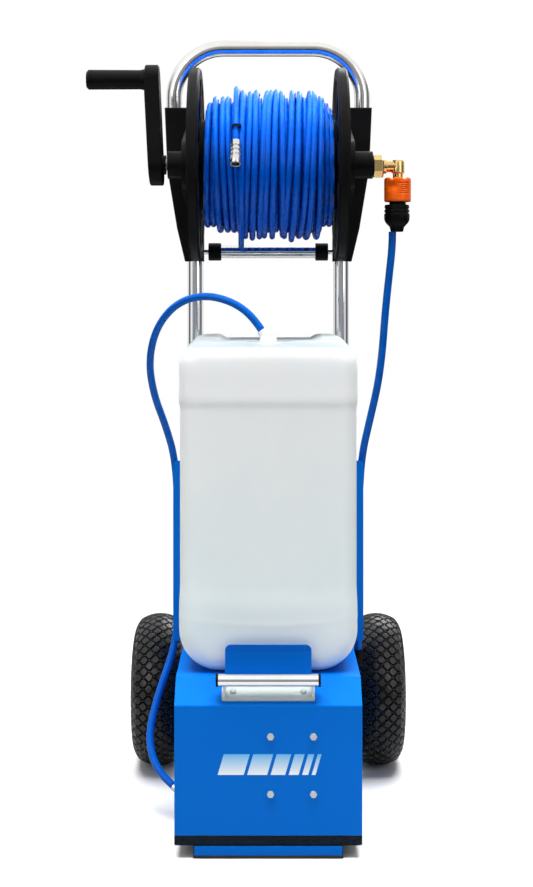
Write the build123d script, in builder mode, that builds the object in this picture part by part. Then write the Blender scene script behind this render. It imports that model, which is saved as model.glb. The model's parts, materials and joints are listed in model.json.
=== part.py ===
from build123d import *
import math
import os

os.makedirs("parts", exist_ok=True)

# A two-wheeled cleaning trolley: a folded steel box with pump and battery, a jerrycan standing on it,
# two upright tubes, and a hose reel under the push handle.
# Millimetres, +Z up, the operator's front towards -Y, the origin under the middle of the front foot.

# ---------------------------------------------------------------- driving dimensions
sheet = 2.5                     # folded steel sheet
fit = 0.05                      # radial clearance of a running shaft
seat = 0.1                      # gap round a tube that is clamped or welded in place

box_width = 245.0
front_y = -42.0                 # front face of the base box
box_bottom = 30.0
crease_z = 199.0                # fold between front face and slope
shelf_z = 228.0                 # shelf that carries the jerrycan
slope_run = 38.0
back_y = 303.3                  # front face of the back panel
board_thick = 14.0

foot_width = 193.0
foot_depth = 84.0
foot_pad_thick = 4.0

lip_y = 209.0                   # front face of the side-wall lips
lip_width = 14.0
lip_fold = 9.0                   # radius of the wide bend between wall and lip
wall_x = 125.5                  # outer face of the side walls
wall_top = 492.0

upright_x = 112.0
upright_y = 318.0
upright_r = 12.0
upright_top = 822.0

axle_y = 378.0
axle_z = 116.0
axle_r = 10.0
wheel_x = 171.0                 # middle plane of a wheel
tyre_r = 116.0
tyre_side_r = 84.0                # where the tyre is widest
tyre_shoulder_r = 107.5
tyre_half = 39.0
bead_r = 52.0
hub_half = 33.0

can_width = 241.0
can_depth = 289.0
can_front = 9.0
can_height = 444.0
can_wall = 3.0

reel_y = 190.0
reel_z = 924.0
flange_r = 140.0
flange_in = 97.0                # inner face of a flange
flange_out = 113.0              # outer edge of a flange rim
drum_r = 65.0
coil_r = 103.0
shaft_r = 8.0

column_top = 1022.0
column_bottom = 787.0
column_in = 99.0                # a bracket column's inner and outer faces at its foot
column_out = 123.5
column_y0 = 303.0
column_y1 = 335.0
cheek_x = 116.0                 # inner face of the side plate that carries the reel

handle_x = 144.5
handle_r = 12.0
handle_top = 1126.0
handle_bend = 76.0

crank_z = 1048.0                # axis of the crank grip at rest
crank_arm_x0 = -179.0
crank_arm_x1 = -159.5

bar_z = 801.5
bar_y = 311.0
bar_r = 9.5

feed_hose_r = 5.25
delivery_hose_r = 5.5
reel_hose_r = 4.25

middle_z = (crease_z + shelf_z) / 2
slope = Plane(
    origin=(0, front_y + slope_run / 2, middle_z),
    x_dir=(1, 0, 0),
    z_dir=(0, crease_z - shelf_z, slope_run),
)


def across(x, y, z):
    """Sketch plane facing +X; its own x runs along +Y and its own y along +Z."""
    return Plane(origin=(x, y, z), x_dir=(0, 1, 0), z_dir=(1, 0, 0))


def facing(y, x=0, z=0):
    """Sketch plane facing the front, -Y; its own x runs along +X and its own y along +Z."""
    return Plane(origin=(x, y, z), x_dir=(1, 0, 0), z_dir=(0, -1, 0))


def level(z, x=0, y=0):
    """Sketch plane facing up."""
    return Plane(origin=(x, y, z), x_dir=(1, 0, 0), z_dir=(0, 0, 1))


def save(builder, label):
    builder.part.label = label
    export_step(builder.part, f"parts/{label}.step")


# ---------------------------------------------------------------- base box
pump_bolt_spots = [(x, z) for x in (3.0, 59.0) for z in (84.0, 159.0)]
bolt_r = 2.5
lift_screw_x = 46.0
lift_screw_up = -2.5
inlet_y = 108.0
inlet_z = 38.0
outlet_y = 248.0
outlet_z = 190.0
port_r = 6.0

with BuildPart() as base_cover:
    with BuildSketch(across(-box_width / 2, 0, 0)):
        with BuildLine():
            Polyline(
                (front_y, box_bottom),
                (front_y, crease_z),
                (front_y + slope_run, shelf_z),
                (back_y, shelf_z),
                (back_y, box_bottom),
                close=True,
            )
        make_face()
    extrude(amount=box_width)
    top_folds = base_cover.edges().filter_by(Axis.X).filter_by(lambda e: e.center().Z > crease_z - 1)
    fillet(top_folds.filter_by(lambda e: e.center().Y < 0), radius=3)
    with BuildSketch(across(-box_width / 2 + sheet, 0, 0)):
        with BuildLine():
            Polyline(
                (front_y + sheet, box_bottom - sheet),
                (front_y + sheet, crease_z - sheet),
                (front_y + slope_run + sheet, shelf_z - sheet),
                (back_y + sheet, shelf_z - sheet),
                (back_y + sheet, box_bottom - sheet),
                close=True,
            )
        make_face()
    extrude(amount=box_width - 2 * sheet, mode=Mode.SUBTRACT)
    with BuildSketch(facing(front_y - 1)):
        with Locations(*pump_bolt_spots):
            Circle(bolt_r + seat)
    extrude(amount=-2 * sheet, mode=Mode.SUBTRACT)
    with BuildSketch(slope.offset(2)):
        with Locations((-lift_screw_x, lift_screw_up), (lift_screw_x, lift_screw_up)):
            Circle(2 + seat)
    extrude(amount=-3 * sheet, mode=Mode.SUBTRACT)
    with BuildSketch(across(-box_width / 2 - 1, inlet_y, inlet_z)):
        Circle(port_r + seat)
    extrude(amount=2 * sheet, mode=Mode.SUBTRACT)
    with BuildSketch(across(box_width / 2 + 1, outlet_y, outlet_z)):
        Circle(port_r + seat)
    extrude(amount=-2 * sheet, mode=Mode.SUBTRACT)
save(base_cover, "base_cover")

with BuildPart() as base_board:
    with BuildSketch(level(box_bottom - board_thick)):
        with Locations((0, (front_y + back_y) / 2)):
            Rectangle(box_width, back_y - front_y)
    extrude(amount=board_thick)
    side_edges = base_board.edges().filter_by(Axis.Y).group_by(Axis.Z)[0]
    round_edges = side_edges + base_board.edges().filter_by(Axis.X).group_by(Axis.Z)[0].sort_by(Axis.Y)[:1]
    fillet(round_edges, radius=3.5)
save(base_board, "base_board")

foot_top = box_bottom - board_thick
with BuildPart() as foot_channel:
    with BuildSketch(across(-foot_width / 2, 0, 0)):
        with BuildLine():
            Polyline(
                (-foot_depth / 2, foot_pad_thick),
                (-foot_depth / 2, foot_top),
                (foot_depth / 2, foot_top),
                (foot_depth / 2, foot_pad_thick),
                (foot_depth / 2 - sheet, foot_pad_thick),
                (foot_depth / 2 - sheet, foot_top - sheet),
                (-foot_depth / 2 + sheet, foot_top - sheet),
                (-foot_depth / 2 + sheet, foot_pad_thick),
                close=True,
            )
        make_face()
    extrude(amount=foot_width)
save(foot_channel, "foot_channel")

with BuildPart() as foot_pad:
    with BuildSketch(level(0)):
        RectangleRounded(foot_width + 3, foot_depth + 1.6, 3)
    extrude(amount=foot_pad_thick)
    fillet(foot_pad.edges().group_by(Axis.Z)[-1], radius=1)
    with BuildSketch(level(foot_pad_thick)):
        for side in (-1, 1):
            with Locations((side * (foot_width / 2 + 0.75), 0)):
                Rectangle(1.5, foot_depth - 10)
    extrude(amount=foot_top - foot_pad_thick - 1)
save(foot_pad, "foot_pad")

# ---------------------------------------------------------------- back panel, side walls and lips
window_width = 150.0
window_z0 = 52.0
window_z1 = 208.0
cover_width = 176.0
cover_z0 = 38.0
cover_z1 = 222.0
cover_screw_spots = [(x, z) for x in (-81.5, 81.5) for z in (46.0, 214.0)]

with BuildPart() as back_frame:
    with BuildSketch(level(shelf_z + 0.3)):
        with Locations((0, back_y + sheet / 2)):
            Rectangle(2 * wall_x, sheet)
        for side in (-1, 1):
            with Locations((side * (wall_x - sheet / 2), (lip_y + back_y + sheet) / 2)):
                Rectangle(sheet, back_y + sheet - lip_y)
            with Locations((side * (wall_x + lip_width / 2 - sheet / 2), lip_y + sheet / 2)):
                Rectangle(lip_width + sheet, sheet)
    extrude(amount=wall_top - shelf_z - 0.3)
    with BuildSketch(facing(back_y)):
        with Locations((0, (foot_top + shelf_z + 1) / 2)):
            Rectangle(box_width, shelf_z + 1 - foot_top)
    extrude(amount=-sheet)
    with BuildSketch(facing(back_y - 1)):
        with Locations((0, (window_z0 + window_z1) / 2)):
            RectangleRounded(window_width, window_z1 - window_z0, 8)
        with Locations(*cover_screw_spots):
            Circle(2 + seat)
    extrude(amount=-2 * sheet, mode=Mode.SUBTRACT)
    lip_roots = back_frame.edges().filter_by(Axis.Z).filter_by(
        lambda e: abs(abs(e.center().X) - wall_x) < 0.1 and abs(e.center().Y - lip_y - sheet) < 0.1
    )
    fillet(lip_roots, radius=lip_fold - sheet)
    lip_folds = back_frame.edges().filter_by(Axis.Z).filter_by(
        lambda e: abs(abs(e.center().X) - wall_x + sheet) < 0.1 and abs(e.center().Y - lip_y) < 0.1
    )
    fillet(lip_folds, radius=lip_fold)
    lip_corners = back_frame.edges().filter_by(Axis.Y).filter_by(
        lambda e: abs(e.center().X) > wall_x + lip_width - 1 and e.center().Z > wall_top - 1
    )
    fillet(lip_corners, radius=6)
    wall_corners = back_frame.edges().filter_by(Axis.Z).filter_by(
        lambda e: abs(abs(e.center().X) - wall_x) < 0.1 and e.center().Y > back_y
    )
    fillet(wall_corners, radius=3)
save(back_frame, "back_frame")

tab_width = 115.0
tab_height = 42.0
tab_y = front_y + slope_run + 2
tab_bend = 9.0
with BuildPart() as retaining_tab:
    with BuildSketch(across(-tab_width / 2, tab_y, shelf_z)):
        with BuildLine():
            Polyline(
                (0, 0),
                (0, tab_height - tab_bend),
                (-2.4, tab_height),
                (-2.4 + sheet, tab_height),
                (sheet, tab_height - tab_bend),
                (sheet, 0),
                close=True,
            )
        make_face()
    extrude(amount=tab_width)
    tab_corners = retaining_tab.edges().filter_by(Axis.Y).filter_by(lambda e: e.center().Z > shelf_z + tab_height - 1)
    fillet(tab_corners, radius=8)
save(retaining_tab, "retaining_tab")

# ---------------------------------------------------------------- lift handle on the slope
bracket_width = 122.0
bracket_low = -17.0             # along the slope from the middle of the slope
bracket_high = 15.0
lift_bar_half = 68.5
lift_bar_r = 8.25
lift_bar_up = -1.7
lift_bar_off = 24.0
ear_thick = 2.5

with BuildPart() as lift_bracket:
    with BuildSketch(slope):
        with Locations((0, (bracket_low + bracket_high) / 2)):
            RectangleRounded(bracket_width, bracket_high - bracket_low, 2)
        with Locations((-lift_screw_x, lift_screw_up), (lift_screw_x, lift_screw_up)):
            Circle(2 + seat, mode=Mode.SUBTRACT)
    extrude(amount=ear_thick)
    for side in (-1, 1):
        ear_x = side * (bracket_width / 2 - 3) - ear_thick / 2
        ear_plane = Plane(
            origin=slope.from_local_coords((ear_x, 0, 0)),
            x_dir=slope.y_dir,
            z_dir=slope.x_dir,
        )
        with BuildSketch(ear_plane):
            with BuildLine():
                Polyline(
                    (bracket_low + 3, ear_thick),
                    (bracket_high - 1, ear_thick),
                    (lift_bar_up + lift_bar_r - 1, lift_bar_off - 3),
                    (lift_bar_up - lift_bar_r + 1, lift_bar_off - 3),
                    close=True,
                )
            make_face()
            with Locations((lift_bar_up, lift_bar_off)):
                Circle(lift_bar_r + seat, mode=Mode.SUBTRACT)
        extrude(amount=ear_thick)
save(lift_bracket, "lift_bracket")

lift_axis = Plane(
    origin=slope.from_local_coords((-lift_bar_half, lift_bar_up, lift_bar_off)),
    x_dir=slope.y_dir,
    z_dir=slope.x_dir,
)
lift_cap_thick = 3.0
with BuildPart() as lift_bar:
    with BuildSketch(lift_axis.offset(lift_cap_thick)):
        Circle(lift_bar_r)
        Circle(lift_bar_r - 1.5, mode=Mode.SUBTRACT)
    extrude(amount=2 * (lift_bar_half - lift_cap_thick))
save(lift_bar, "lift_bar")

with BuildPart() as lift_bar_caps:
    for along, inward in ((0, 1), (2 * lift_bar_half, -1)):
        with BuildSketch(lift_axis.offset(along)):
            Circle(lift_bar_r + 0.35)
        extrude(amount=inward * lift_cap_thick)
        with BuildSketch(lift_axis.offset(along + inward * lift_cap_thick)):
            Circle(lift_bar_r - 1.5 - seat)
        extrude(amount=inward * 9)
save(lift_bar_caps, "lift_bar_caps")

with BuildPart() as lift_screws:
    for side in (-1, 1):
        with BuildSketch(slope.offset(ear_thick)):
            with Locations((side * lift_screw_x, lift_screw_up)):
                Circle(4)
        extrude(amount=2.6)
        with BuildSketch(slope.offset(ear_thick)):
            with Locations((side * lift_screw_x, lift_screw_up)):
                Circle(2)
        extrude(amount=-12)
    heads = lift_screws.faces().filter_by(GeomType.PLANE).filter_by(lambda f: abs(f.area - math.pi * 16) < 0.5)
    fillet(heads.edges(), radius=1.2)
save(lift_screws, "lift_screws")

# ---------------------------------------------------------------- pump behind the front face
pump_foot_y0 = front_y + sheet
pump_foot_thick = 10.0
pump_plate_y = pump_foot_y0 + pump_foot_thick
pump_plate_thick = 2.5
motor_r = 33.0
saddle_gap = 10.0
motor_y = pump_plate_y + pump_plate_thick + saddle_gap + motor_r
motor_z = 121.5
motor_x0 = -96.0
motor_x1 = 4.0
head_x1 = 72.0

with BuildPart() as pump_feet:
    with BuildSketch(facing(pump_foot_y0)):
        with Locations(*pump_bolt_spots):
            Circle(9)
            Circle(bolt_r + seat, mode=Mode.SUBTRACT)
    extrude(amount=-pump_foot_thick)
save(pump_feet, "pump_feet")

with BuildPart() as pump_motor:
    with BuildSketch(across(motor_x0, motor_y, motor_z)):
        Circle(motor_r)
    extrude(amount=motor_x1 - motor_x0)
    fillet(pump_motor.edges().filter_by(GeomType.CIRCLE).sort_by(Axis.X)[0], radius=8)
    with BuildSketch(across(motor_x0 - 6, motor_y, motor_z)):
        Circle(9)
    extrude(amount=8)
save(pump_motor, "pump_motor")

with BuildPart() as pump_head:
    with BuildSketch(across(motor_x1, motor_y, motor_z)):
        RectangleRounded(2 * motor_r, 84, 10)
    extrude(amount=head_x1 - motor_x1)
    fillet(pump_head.faces().sort_by(Axis.X)[-1].edges(), radius=6)
    with BuildSketch(facing(pump_plate_y, x=(pump_bolt_spots[0][0] + pump_bolt_spots[-1][0]) / 2, z=motor_z)):
        RectangleRounded(84, 100, 8)
        with GridLocations(56, 75, 2, 2):
            Circle(bolt_r + seat, mode=Mode.SUBTRACT)
    extrude(amount=-pump_plate_thick)
    with BuildSketch(facing(pump_plate_y + pump_plate_thick, x=31, z=motor_z)):
        Rectangle(34, 50)
    extrude(amount=-saddle_gap - 2)
    for port_z in (motor_z - 24, motor_z + 24):
        with BuildSketch(across(head_x1 - 1, motor_y, port_z)):
            Circle(9)
            Circle(5, mode=Mode.SUBTRACT)
        extrude(amount=19)
save(pump_head, "pump_head")

with BuildPart() as pump_bolts:
    with BuildSketch(facing(front_y)):
        with Locations(*pump_bolt_spots):
            RegularPolygon(4.9, 6)
    extrude(amount=3.6)
    crown = pump_bolts.faces().filter_by(Axis.Y).sort_by(Axis.Y)[:4]
    fillet(crown.edges(), radius=0.7)
    with BuildSketch(facing(front_y)):
        with Locations(*pump_bolt_spots):
            Circle(bolt_r)
    extrude(amount=-(sheet + pump_foot_thick + pump_plate_thick + 8))
    with BuildSketch(facing(pump_plate_y + pump_plate_thick)):
        with Locations(*pump_bolt_spots):
            RegularPolygon(4.4, 6)
    extrude(amount=-4)
save(pump_bolts, "pump_bolts")

# ---------------------------------------------------------------- battery
battery_width = 181.0
battery_depth = 77.0
battery_height = 167.0
battery_y = 196.0
with BuildPart() as battery:
    with BuildSketch(level(box_bottom)):
        with Locations((0, battery_y)):
            RectangleRounded(battery_width, battery_depth, 3)
    extrude(amount=battery_height - 6)
    with BuildSketch(level(box_bottom + battery_height - 6)):
        with Locations((0, battery_y)):
            RectangleRounded(battery_width - 8, battery_depth - 8, 3)
        with Locations((-74, battery_y - 22), (74, battery_y - 22)):
            Rectangle(20, 18, mode=Mode.SUBTRACT)
    extrude(amount=6)
    with BuildSketch(level(box_bottom + battery_height - 6)):
        with Locations((-74, battery_y - 22), (74, battery_y - 22)):
            Rectangle(8, 10)
    extrude(amount=4)
save(battery, "battery")

strap_width = 22.0
strap_gap = 0.3
with BuildPart() as battery_clamp:
    with BuildSketch(facing(battery_y + strap_width / 2)):
        with BuildLine():
            reach = battery_width / 2 + strap_gap
            crown_z = box_bottom + battery_height + strap_gap
            Polyline(
                (-reach - 18, box_bottom),
                (-reach - 18, box_bottom + 2),
                (-reach - 2, box_bottom + 2),
                (-reach - 2, crown_z + 2),
                (reach + 2, crown_z + 2),
                (reach + 2, box_bottom + 2),
                (reach + 18, box_bottom + 2),
                (reach + 18, box_bottom),
                (reach, box_bottom),
                (reach, crown_z),
                (-reach, crown_z),
                (-reach, box_bottom),
                close=True,
            )
        make_face()
    extrude(amount=strap_width)
save(battery_clamp, "battery_clamp")

# ---------------------------------------------------------------- rear cover and its controls
cover_y = back_y + sheet
cover_thick = 2.0
control_z = 184.0
display_x = -38.0
display_size = (46.0, 26.0)
button_x = (6.0, 26.0)
button_r = 5.0
switch_x = 58.0
switch_size = (21.0, 15.0)
socket_z = 78.0
socket_x = 52.0
socket_r = 9.0

with BuildPart() as rear_cover:
    with BuildSketch(facing(cover_y)):
        with Locations((0, (cover_z0 + cover_z1) / 2)):
            RectangleRounded(cover_width, cover_z1 - cover_z0, 6)
        with Locations(*cover_screw_spots):
            Circle(2 + seat, mode=Mode.SUBTRACT)
        with Locations((display_x, control_z)):
            Rectangle(display_size[0] + 0.4, display_size[1] + 0.4, mode=Mode.SUBTRACT)
        with Locations((button_x[0], control_z), (button_x[1], control_z)):
            Circle(button_r + 2, mode=Mode.SUBTRACT)
        with Locations((switch_x, control_z)):
            Rectangle(switch_size[0] + 2.4, switch_size[1] + 2.4, mode=Mode.SUBTRACT)
        with Locations((socket_x, socket_z)):
            Circle(socket_r + seat, mode=Mode.SUBTRACT)
    extrude(amount=-cover_thick)
save(rear_cover, "rear_cover")

with BuildPart() as rear_screws:
    with BuildSketch(facing(cover_y + cover_thick)):
        with Locations(*cover_screw_spots):
            Circle(3.8)
    extrude(amount=-2.4)
    fillet(rear_screws.faces().sort_by(Axis.Y)[-4:].edges(), radius=1.2)
    with BuildSketch(facing(cover_y + cover_thick)):
        with Locations(*cover_screw_spots):
            Circle(2)
    extrude(amount=10)
save(rear_screws, "rear_screws")

with BuildPart() as controller_box:
    with BuildSketch(facing(cover_y - 28)):
        with Locations((-12, control_z)):
            Rectangle(108, 42)
    extrude(amount=-28)
    with BuildSketch(facing(cover_y)):
        with Locations((display_x, control_z)):
            RectangleRounded(display_size[0], display_size[1], 2)
            Rectangle(display_size[0] - 8, display_size[1] - 9, mode=Mode.SUBTRACT)
    extrude(amount=-cover_thick - 1.2)
    with BuildSketch(facing(cover_y + 0.2)):
        with Locations((button_x[0], control_z), (button_x[1], control_z)):
            Circle(button_r + 0.3)
    extrude(amount=6.2, mode=Mode.SUBTRACT)
save(controller_box, "controller_box")

for x, name in zip(button_x, ("speed_down_button", "speed_up_button")):
    with BuildPart() as speed_button:
        with BuildSketch(facing(cover_y + cover_thick + 1.6, x=x, z=control_z)):
            Circle(button_r)
        extrude(amount=cover_thick + 1.6 + 3)
        fillet(speed_button.faces().sort_by(Axis.Y)[-1].edges(), radius=1)
    save(speed_button, name)

with BuildPart() as switch_bezel:
    with BuildSketch(facing(cover_y + cover_thick)):
        with Locations((switch_x, control_z)):
            RectangleRounded(switch_size[0] + 6, switch_size[1] + 6, 2)
            Rectangle(switch_size[0], switch_size[1], mode=Mode.SUBTRACT)
    extrude(amount=-1.8)
    with BuildSketch(facing(cover_y + cover_thick)):
        with Locations((switch_x, control_z)):
            Rectangle(switch_size[0] + 2, switch_size[1] + 2)
            Rectangle(switch_size[0], switch_size[1], mode=Mode.SUBTRACT)
    extrude(amount=14)
    with BuildSketch(facing(cover_y + cover_thick - 14)):
        with Locations((switch_x, control_z)):
            Rectangle(switch_size[0] + 2, switch_size[1] + 2)
    extrude(amount=2)
save(switch_bezel, "switch_bezel")

rocker_y = cover_y - 3
with BuildPart() as power_rocker:
    with BuildSketch(level(control_z - (switch_size[1] - 1) / 2, x=switch_x, y=rocker_y)):
        with BuildLine():
            Polyline(
                (-9.0, 3),
                (-9.0, 6.3),
                (0, 4.6),
                (8.4, 7.6),
                (8.2, 0.5),
                (0, -4),
                close=True,
            )
        make_face()
    extrude(amount=switch_size[1] - 1)
save(power_rocker, "power_rocker")

with BuildPart() as charge_socket:
    with BuildSketch(facing(cover_y + cover_thick)):
        with Locations((socket_x, socket_z)):
            Circle(socket_r + 3)
    extrude(amount=-4)
    with BuildSketch(facing(cover_y + cover_thick)):
        with Locations((socket_x, socket_z)):
            Circle(socket_r)
    extrude(amount=16)
    with BuildSketch(facing(cover_y + cover_thick + 4)):
        with Locations((socket_x, socket_z)):
            Circle(socket_r - 3)
            Circle(2, mode=Mode.SUBTRACT)
    extrude(amount=12, mode=Mode.SUBTRACT)
save(charge_socket, "charge_socket")

# ---------------------------------------------------------------- hose ports in the box's sides
barb_dir = Vector(-0.753, 0.415, 0.511)
barb_root = Vector(-box_width / 2, inlet_y, inlet_z)
barb_length = 13.9
barb_start = 5.4
knuckle = 8.0
feed_end = barb_root + barb_dir * barb_length
with BuildPart() as inlet_barb:
    with BuildSketch(across(-box_width / 2 - knuckle, inlet_y, inlet_z)):
        Circle(7)
    extrude(amount=knuckle)
    with BuildSketch(across(-box_width / 2, inlet_y, inlet_z)):
        Circle(port_r)
    extrude(amount=sheet)
    with BuildSketch(across(-box_width / 2 + sheet, inlet_y, inlet_z)):
        RegularPolygon(8, 6)
    extrude(amount=5)
    with BuildSketch(across(-box_width / 2 + sheet + 5, inlet_y, inlet_z)):
        Circle(4.5)
    extrude(amount=15)
    with BuildSketch(Plane(origin=barb_root + barb_dir * barb_start, z_dir=barb_dir)):
        Circle(5.8)
    extrude(amount=barb_length - barb_start)
save(inlet_barb, "inlet_barb")

outlet_x = 134.2
outlet_top = 207.0
with BuildPart() as outlet_elbow:
    with BuildSketch(across(box_width / 2 - sheet - 18, outlet_y, outlet_z)):
        Circle(4.5)
    extrude(amount=outlet_x - box_width / 2 + sheet + 18)
    with BuildSketch(across(box_width / 2 - sheet - 5, outlet_y, outlet_z)):
        RegularPolygon(9.5, 6)
    extrude(amount=5)
    with BuildSketch(across(box_width / 2, outlet_y, outlet_z)):
        Circle(7.5)
    extrude(amount=outlet_x - box_width / 2)
    with BuildSketch(across(box_width / 2 - sheet, outlet_y, outlet_z)):
        Circle(port_r)
    extrude(amount=sheet)
    with BuildSketch(level(outlet_z - 6, x=outlet_x, y=outlet_y)):
        Circle(6.3)
    extrude(amount=outlet_top - outlet_z + 6)
save(outlet_elbow, "outlet_elbow")

# ---------------------------------------------------------------- uprights, cross-bar, handle
for side, name in ((-1, "left_upright"), (1, "right_upright")):
    with BuildPart() as upright:
        with BuildSketch(level(foot_top, x=side * upright_x, y=upright_y)):
            Circle(upright_r)
            Circle(upright_r - 2, mode=Mode.SUBTRACT)
        extrude(amount=upright_top - foot_top)
    save(upright, name)

neck_x = 99.0
with BuildPart() as cross_bar:
    with BuildSketch(across(-72, bar_y, bar_z)):
        Circle(bar_r)
    extrude(amount=144)
    with BuildSketch(across(-neck_x + 0.3, bar_y, bar_z)):
        Circle(4)
    extrude(amount=2 * neck_x - 0.6)
save(cross_bar, "cross_bar")

with BuildPart() as cross_bar_collars:
    for side in (-1, 1):
        with BuildSketch(across(side * 72, bar_y, bar_z)):
            Circle(13.5)
            Circle(4 + seat, mode=Mode.SUBTRACT)
        extrude(amount=side * 19.5)
    fillet(cross_bar_collars.edges().filter_by(GeomType.CIRCLE).filter_by(lambda e: e.radius > 13), radius=1.5)
save(cross_bar_collars, "cross_bar_collars")

leg_bottom = column_top - 15
with BuildPart() as handle_tube:
    with BuildLine(facing(upright_y)):
        top = handle_top - handle_r
        FilletPolyline(
            (-handle_x, leg_bottom),
            (-handle_x, top),
            (handle_x, top),
            (handle_x, leg_bottom),
            radius=handle_bend,
        )
    with BuildSketch(level(leg_bottom, x=-handle_x, y=upright_y)):
        Circle(handle_r)
        Circle(handle_r - 2, mode=Mode.SUBTRACT)
    sweep()
save(handle_tube, "handle_tube")

# ---------------------------------------------------------------- side brackets of the reel
cheek_thick = 9.0
boss_r = 20.0
boss_end = {-1: 146.0, 1: 151.5}
for side, name in ((-1, "left_reel_bracket"), (1, "right_reel_bracket")):
    with BuildPart() as bracket:
        with BuildSketch(facing(column_y0)):
            with BuildLine():
                Polyline(
                    (side * column_in, column_bottom),
                    (side * column_in, upright_top + 1),
                    (side * (cheek_x + 1), upright_top + 16),
                    (side * (cheek_x + 4), column_top),
                    (side * (handle_x + 14), column_top),
                    (side * (handle_x + 10), reel_z + 4),
                    (side * (handle_x - 5), column_bottom + 50),
                    (side * (column_out + 4), column_bottom),
                    close=True,
                )
            make_face()
        extrude(amount=column_y0 - column_y1)
        upright_edges = bracket.edges().filter_by(lambda e: abs(e.tangent_at(0.5).Y) < 0.01)
        rim = upright_edges.filter_by(lambda e: abs(e.center().X) > 124)
        fillet(rim, radius=2.5)
        with BuildSketch(across(side * cheek_x, 0, 0)):
            with Locations((reel_y, reel_z)):
                Circle(36)
            with Locations((column_y0 + 6, (upright_top + column_top) / 2 + 6)):
                Rectangle(12, 130)
            make_hull()
        extrude(amount=side * cheek_thick)
        with BuildSketch(across(side * (cheek_x + cheek_thick), 0, 0)):
            with Locations((reel_y + 26, reel_z)):
                Circle(14)
            with Locations((column_y0 - 14, (upright_top + column_top) / 2 + 6)):
                Rectangle(10, 96)
            make_hull()
        extrude(amount=-side * 4, mode=Mode.SUBTRACT)
        with BuildSketch(across(side * cheek_x, reel_y, reel_z)):
            Circle(boss_r)
        extrude(amount=side * (boss_end[side] - cheek_x))
        with BuildSketch(across(side * (cheek_x - 1), reel_y, reel_z)):
            Circle(shaft_r + fit)
        extrude(amount=side * 60, mode=Mode.SUBTRACT)
        with BuildSketch(level(column_bottom - 1, x=side * upright_x, y=upright_y)):
            Circle(upright_r + seat)
        extrude(amount=upright_top + 1 - column_bottom, mode=Mode.SUBTRACT)
        with BuildSketch(level(leg_bottom, x=side * handle_x, y=upright_y)):
            Circle(handle_r + seat)
        extrude(amount=60, mode=Mode.SUBTRACT)
        with BuildSketch(across(side * 90, bar_y, bar_z)):
            Circle(4 + seat)
        extrude(amount=side * 9.2, mode=Mode.SUBTRACT)
    save(bracket, name)

with BuildPart() as bracket_screws:
    for side in (-1, 1):
        for x, z in ((upright_x, column_bottom + 24), (handle_x, column_top - 8)):
            with BuildSketch(facing(column_y1, x=side * x, z=z)):
                RegularPolygon(5.5, 6)
            extrude(amount=-4)
save(bracket_screws, "bracket_screws")

# ---------------------------------------------------------------- wheels
with BuildPart() as axle_brackets:
    for side in (-1, 1):
        with BuildSketch(across(side * (upright_x + upright_r + 0.2), 0, 0)):
            with Locations((axle_y, axle_z)):
                Circle(24)
            with Locations((upright_y - 4, axle_z)):
                Rectangle(24, 92)
            make_hull()
            with Locations((axle_y, axle_z)):
                Circle(axle_r + seat, mode=Mode.SUBTRACT)
        extrude(amount=side * 5)
save(axle_brackets, "axle_brackets")

axle_half = wheel_x + hub_half + 9
with BuildPart() as wheel_axle:
    with BuildSketch(across(-axle_half, axle_y, axle_z)):
        Circle(axle_r)
    extrude(amount=2 * axle_half)
    fillet(wheel_axle.edges().filter_by(GeomType.CIRCLE), radius=1)
save(wheel_axle, "wheel_axle")

spacer_start = upright_x + upright_r + 5.2
with BuildPart() as axle_collars:
    for side in (-1, 1):
        with BuildSketch(across(side * spacer_start, axle_y, axle_z)):
            Circle(14)
            Circle(axle_r + seat, mode=Mode.SUBTRACT)
        extrude(amount=side * (wheel_x - hub_half - spacer_start - 0.4))
        with BuildSketch(across(side * (wheel_x + hub_half + 0.4), axle_y, axle_z)):
            Circle(15)
            Circle(axle_r + seat, mode=Mode.SUBTRACT)
        extrude(amount=side * 3)
save(axle_collars, "axle_collars")

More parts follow.
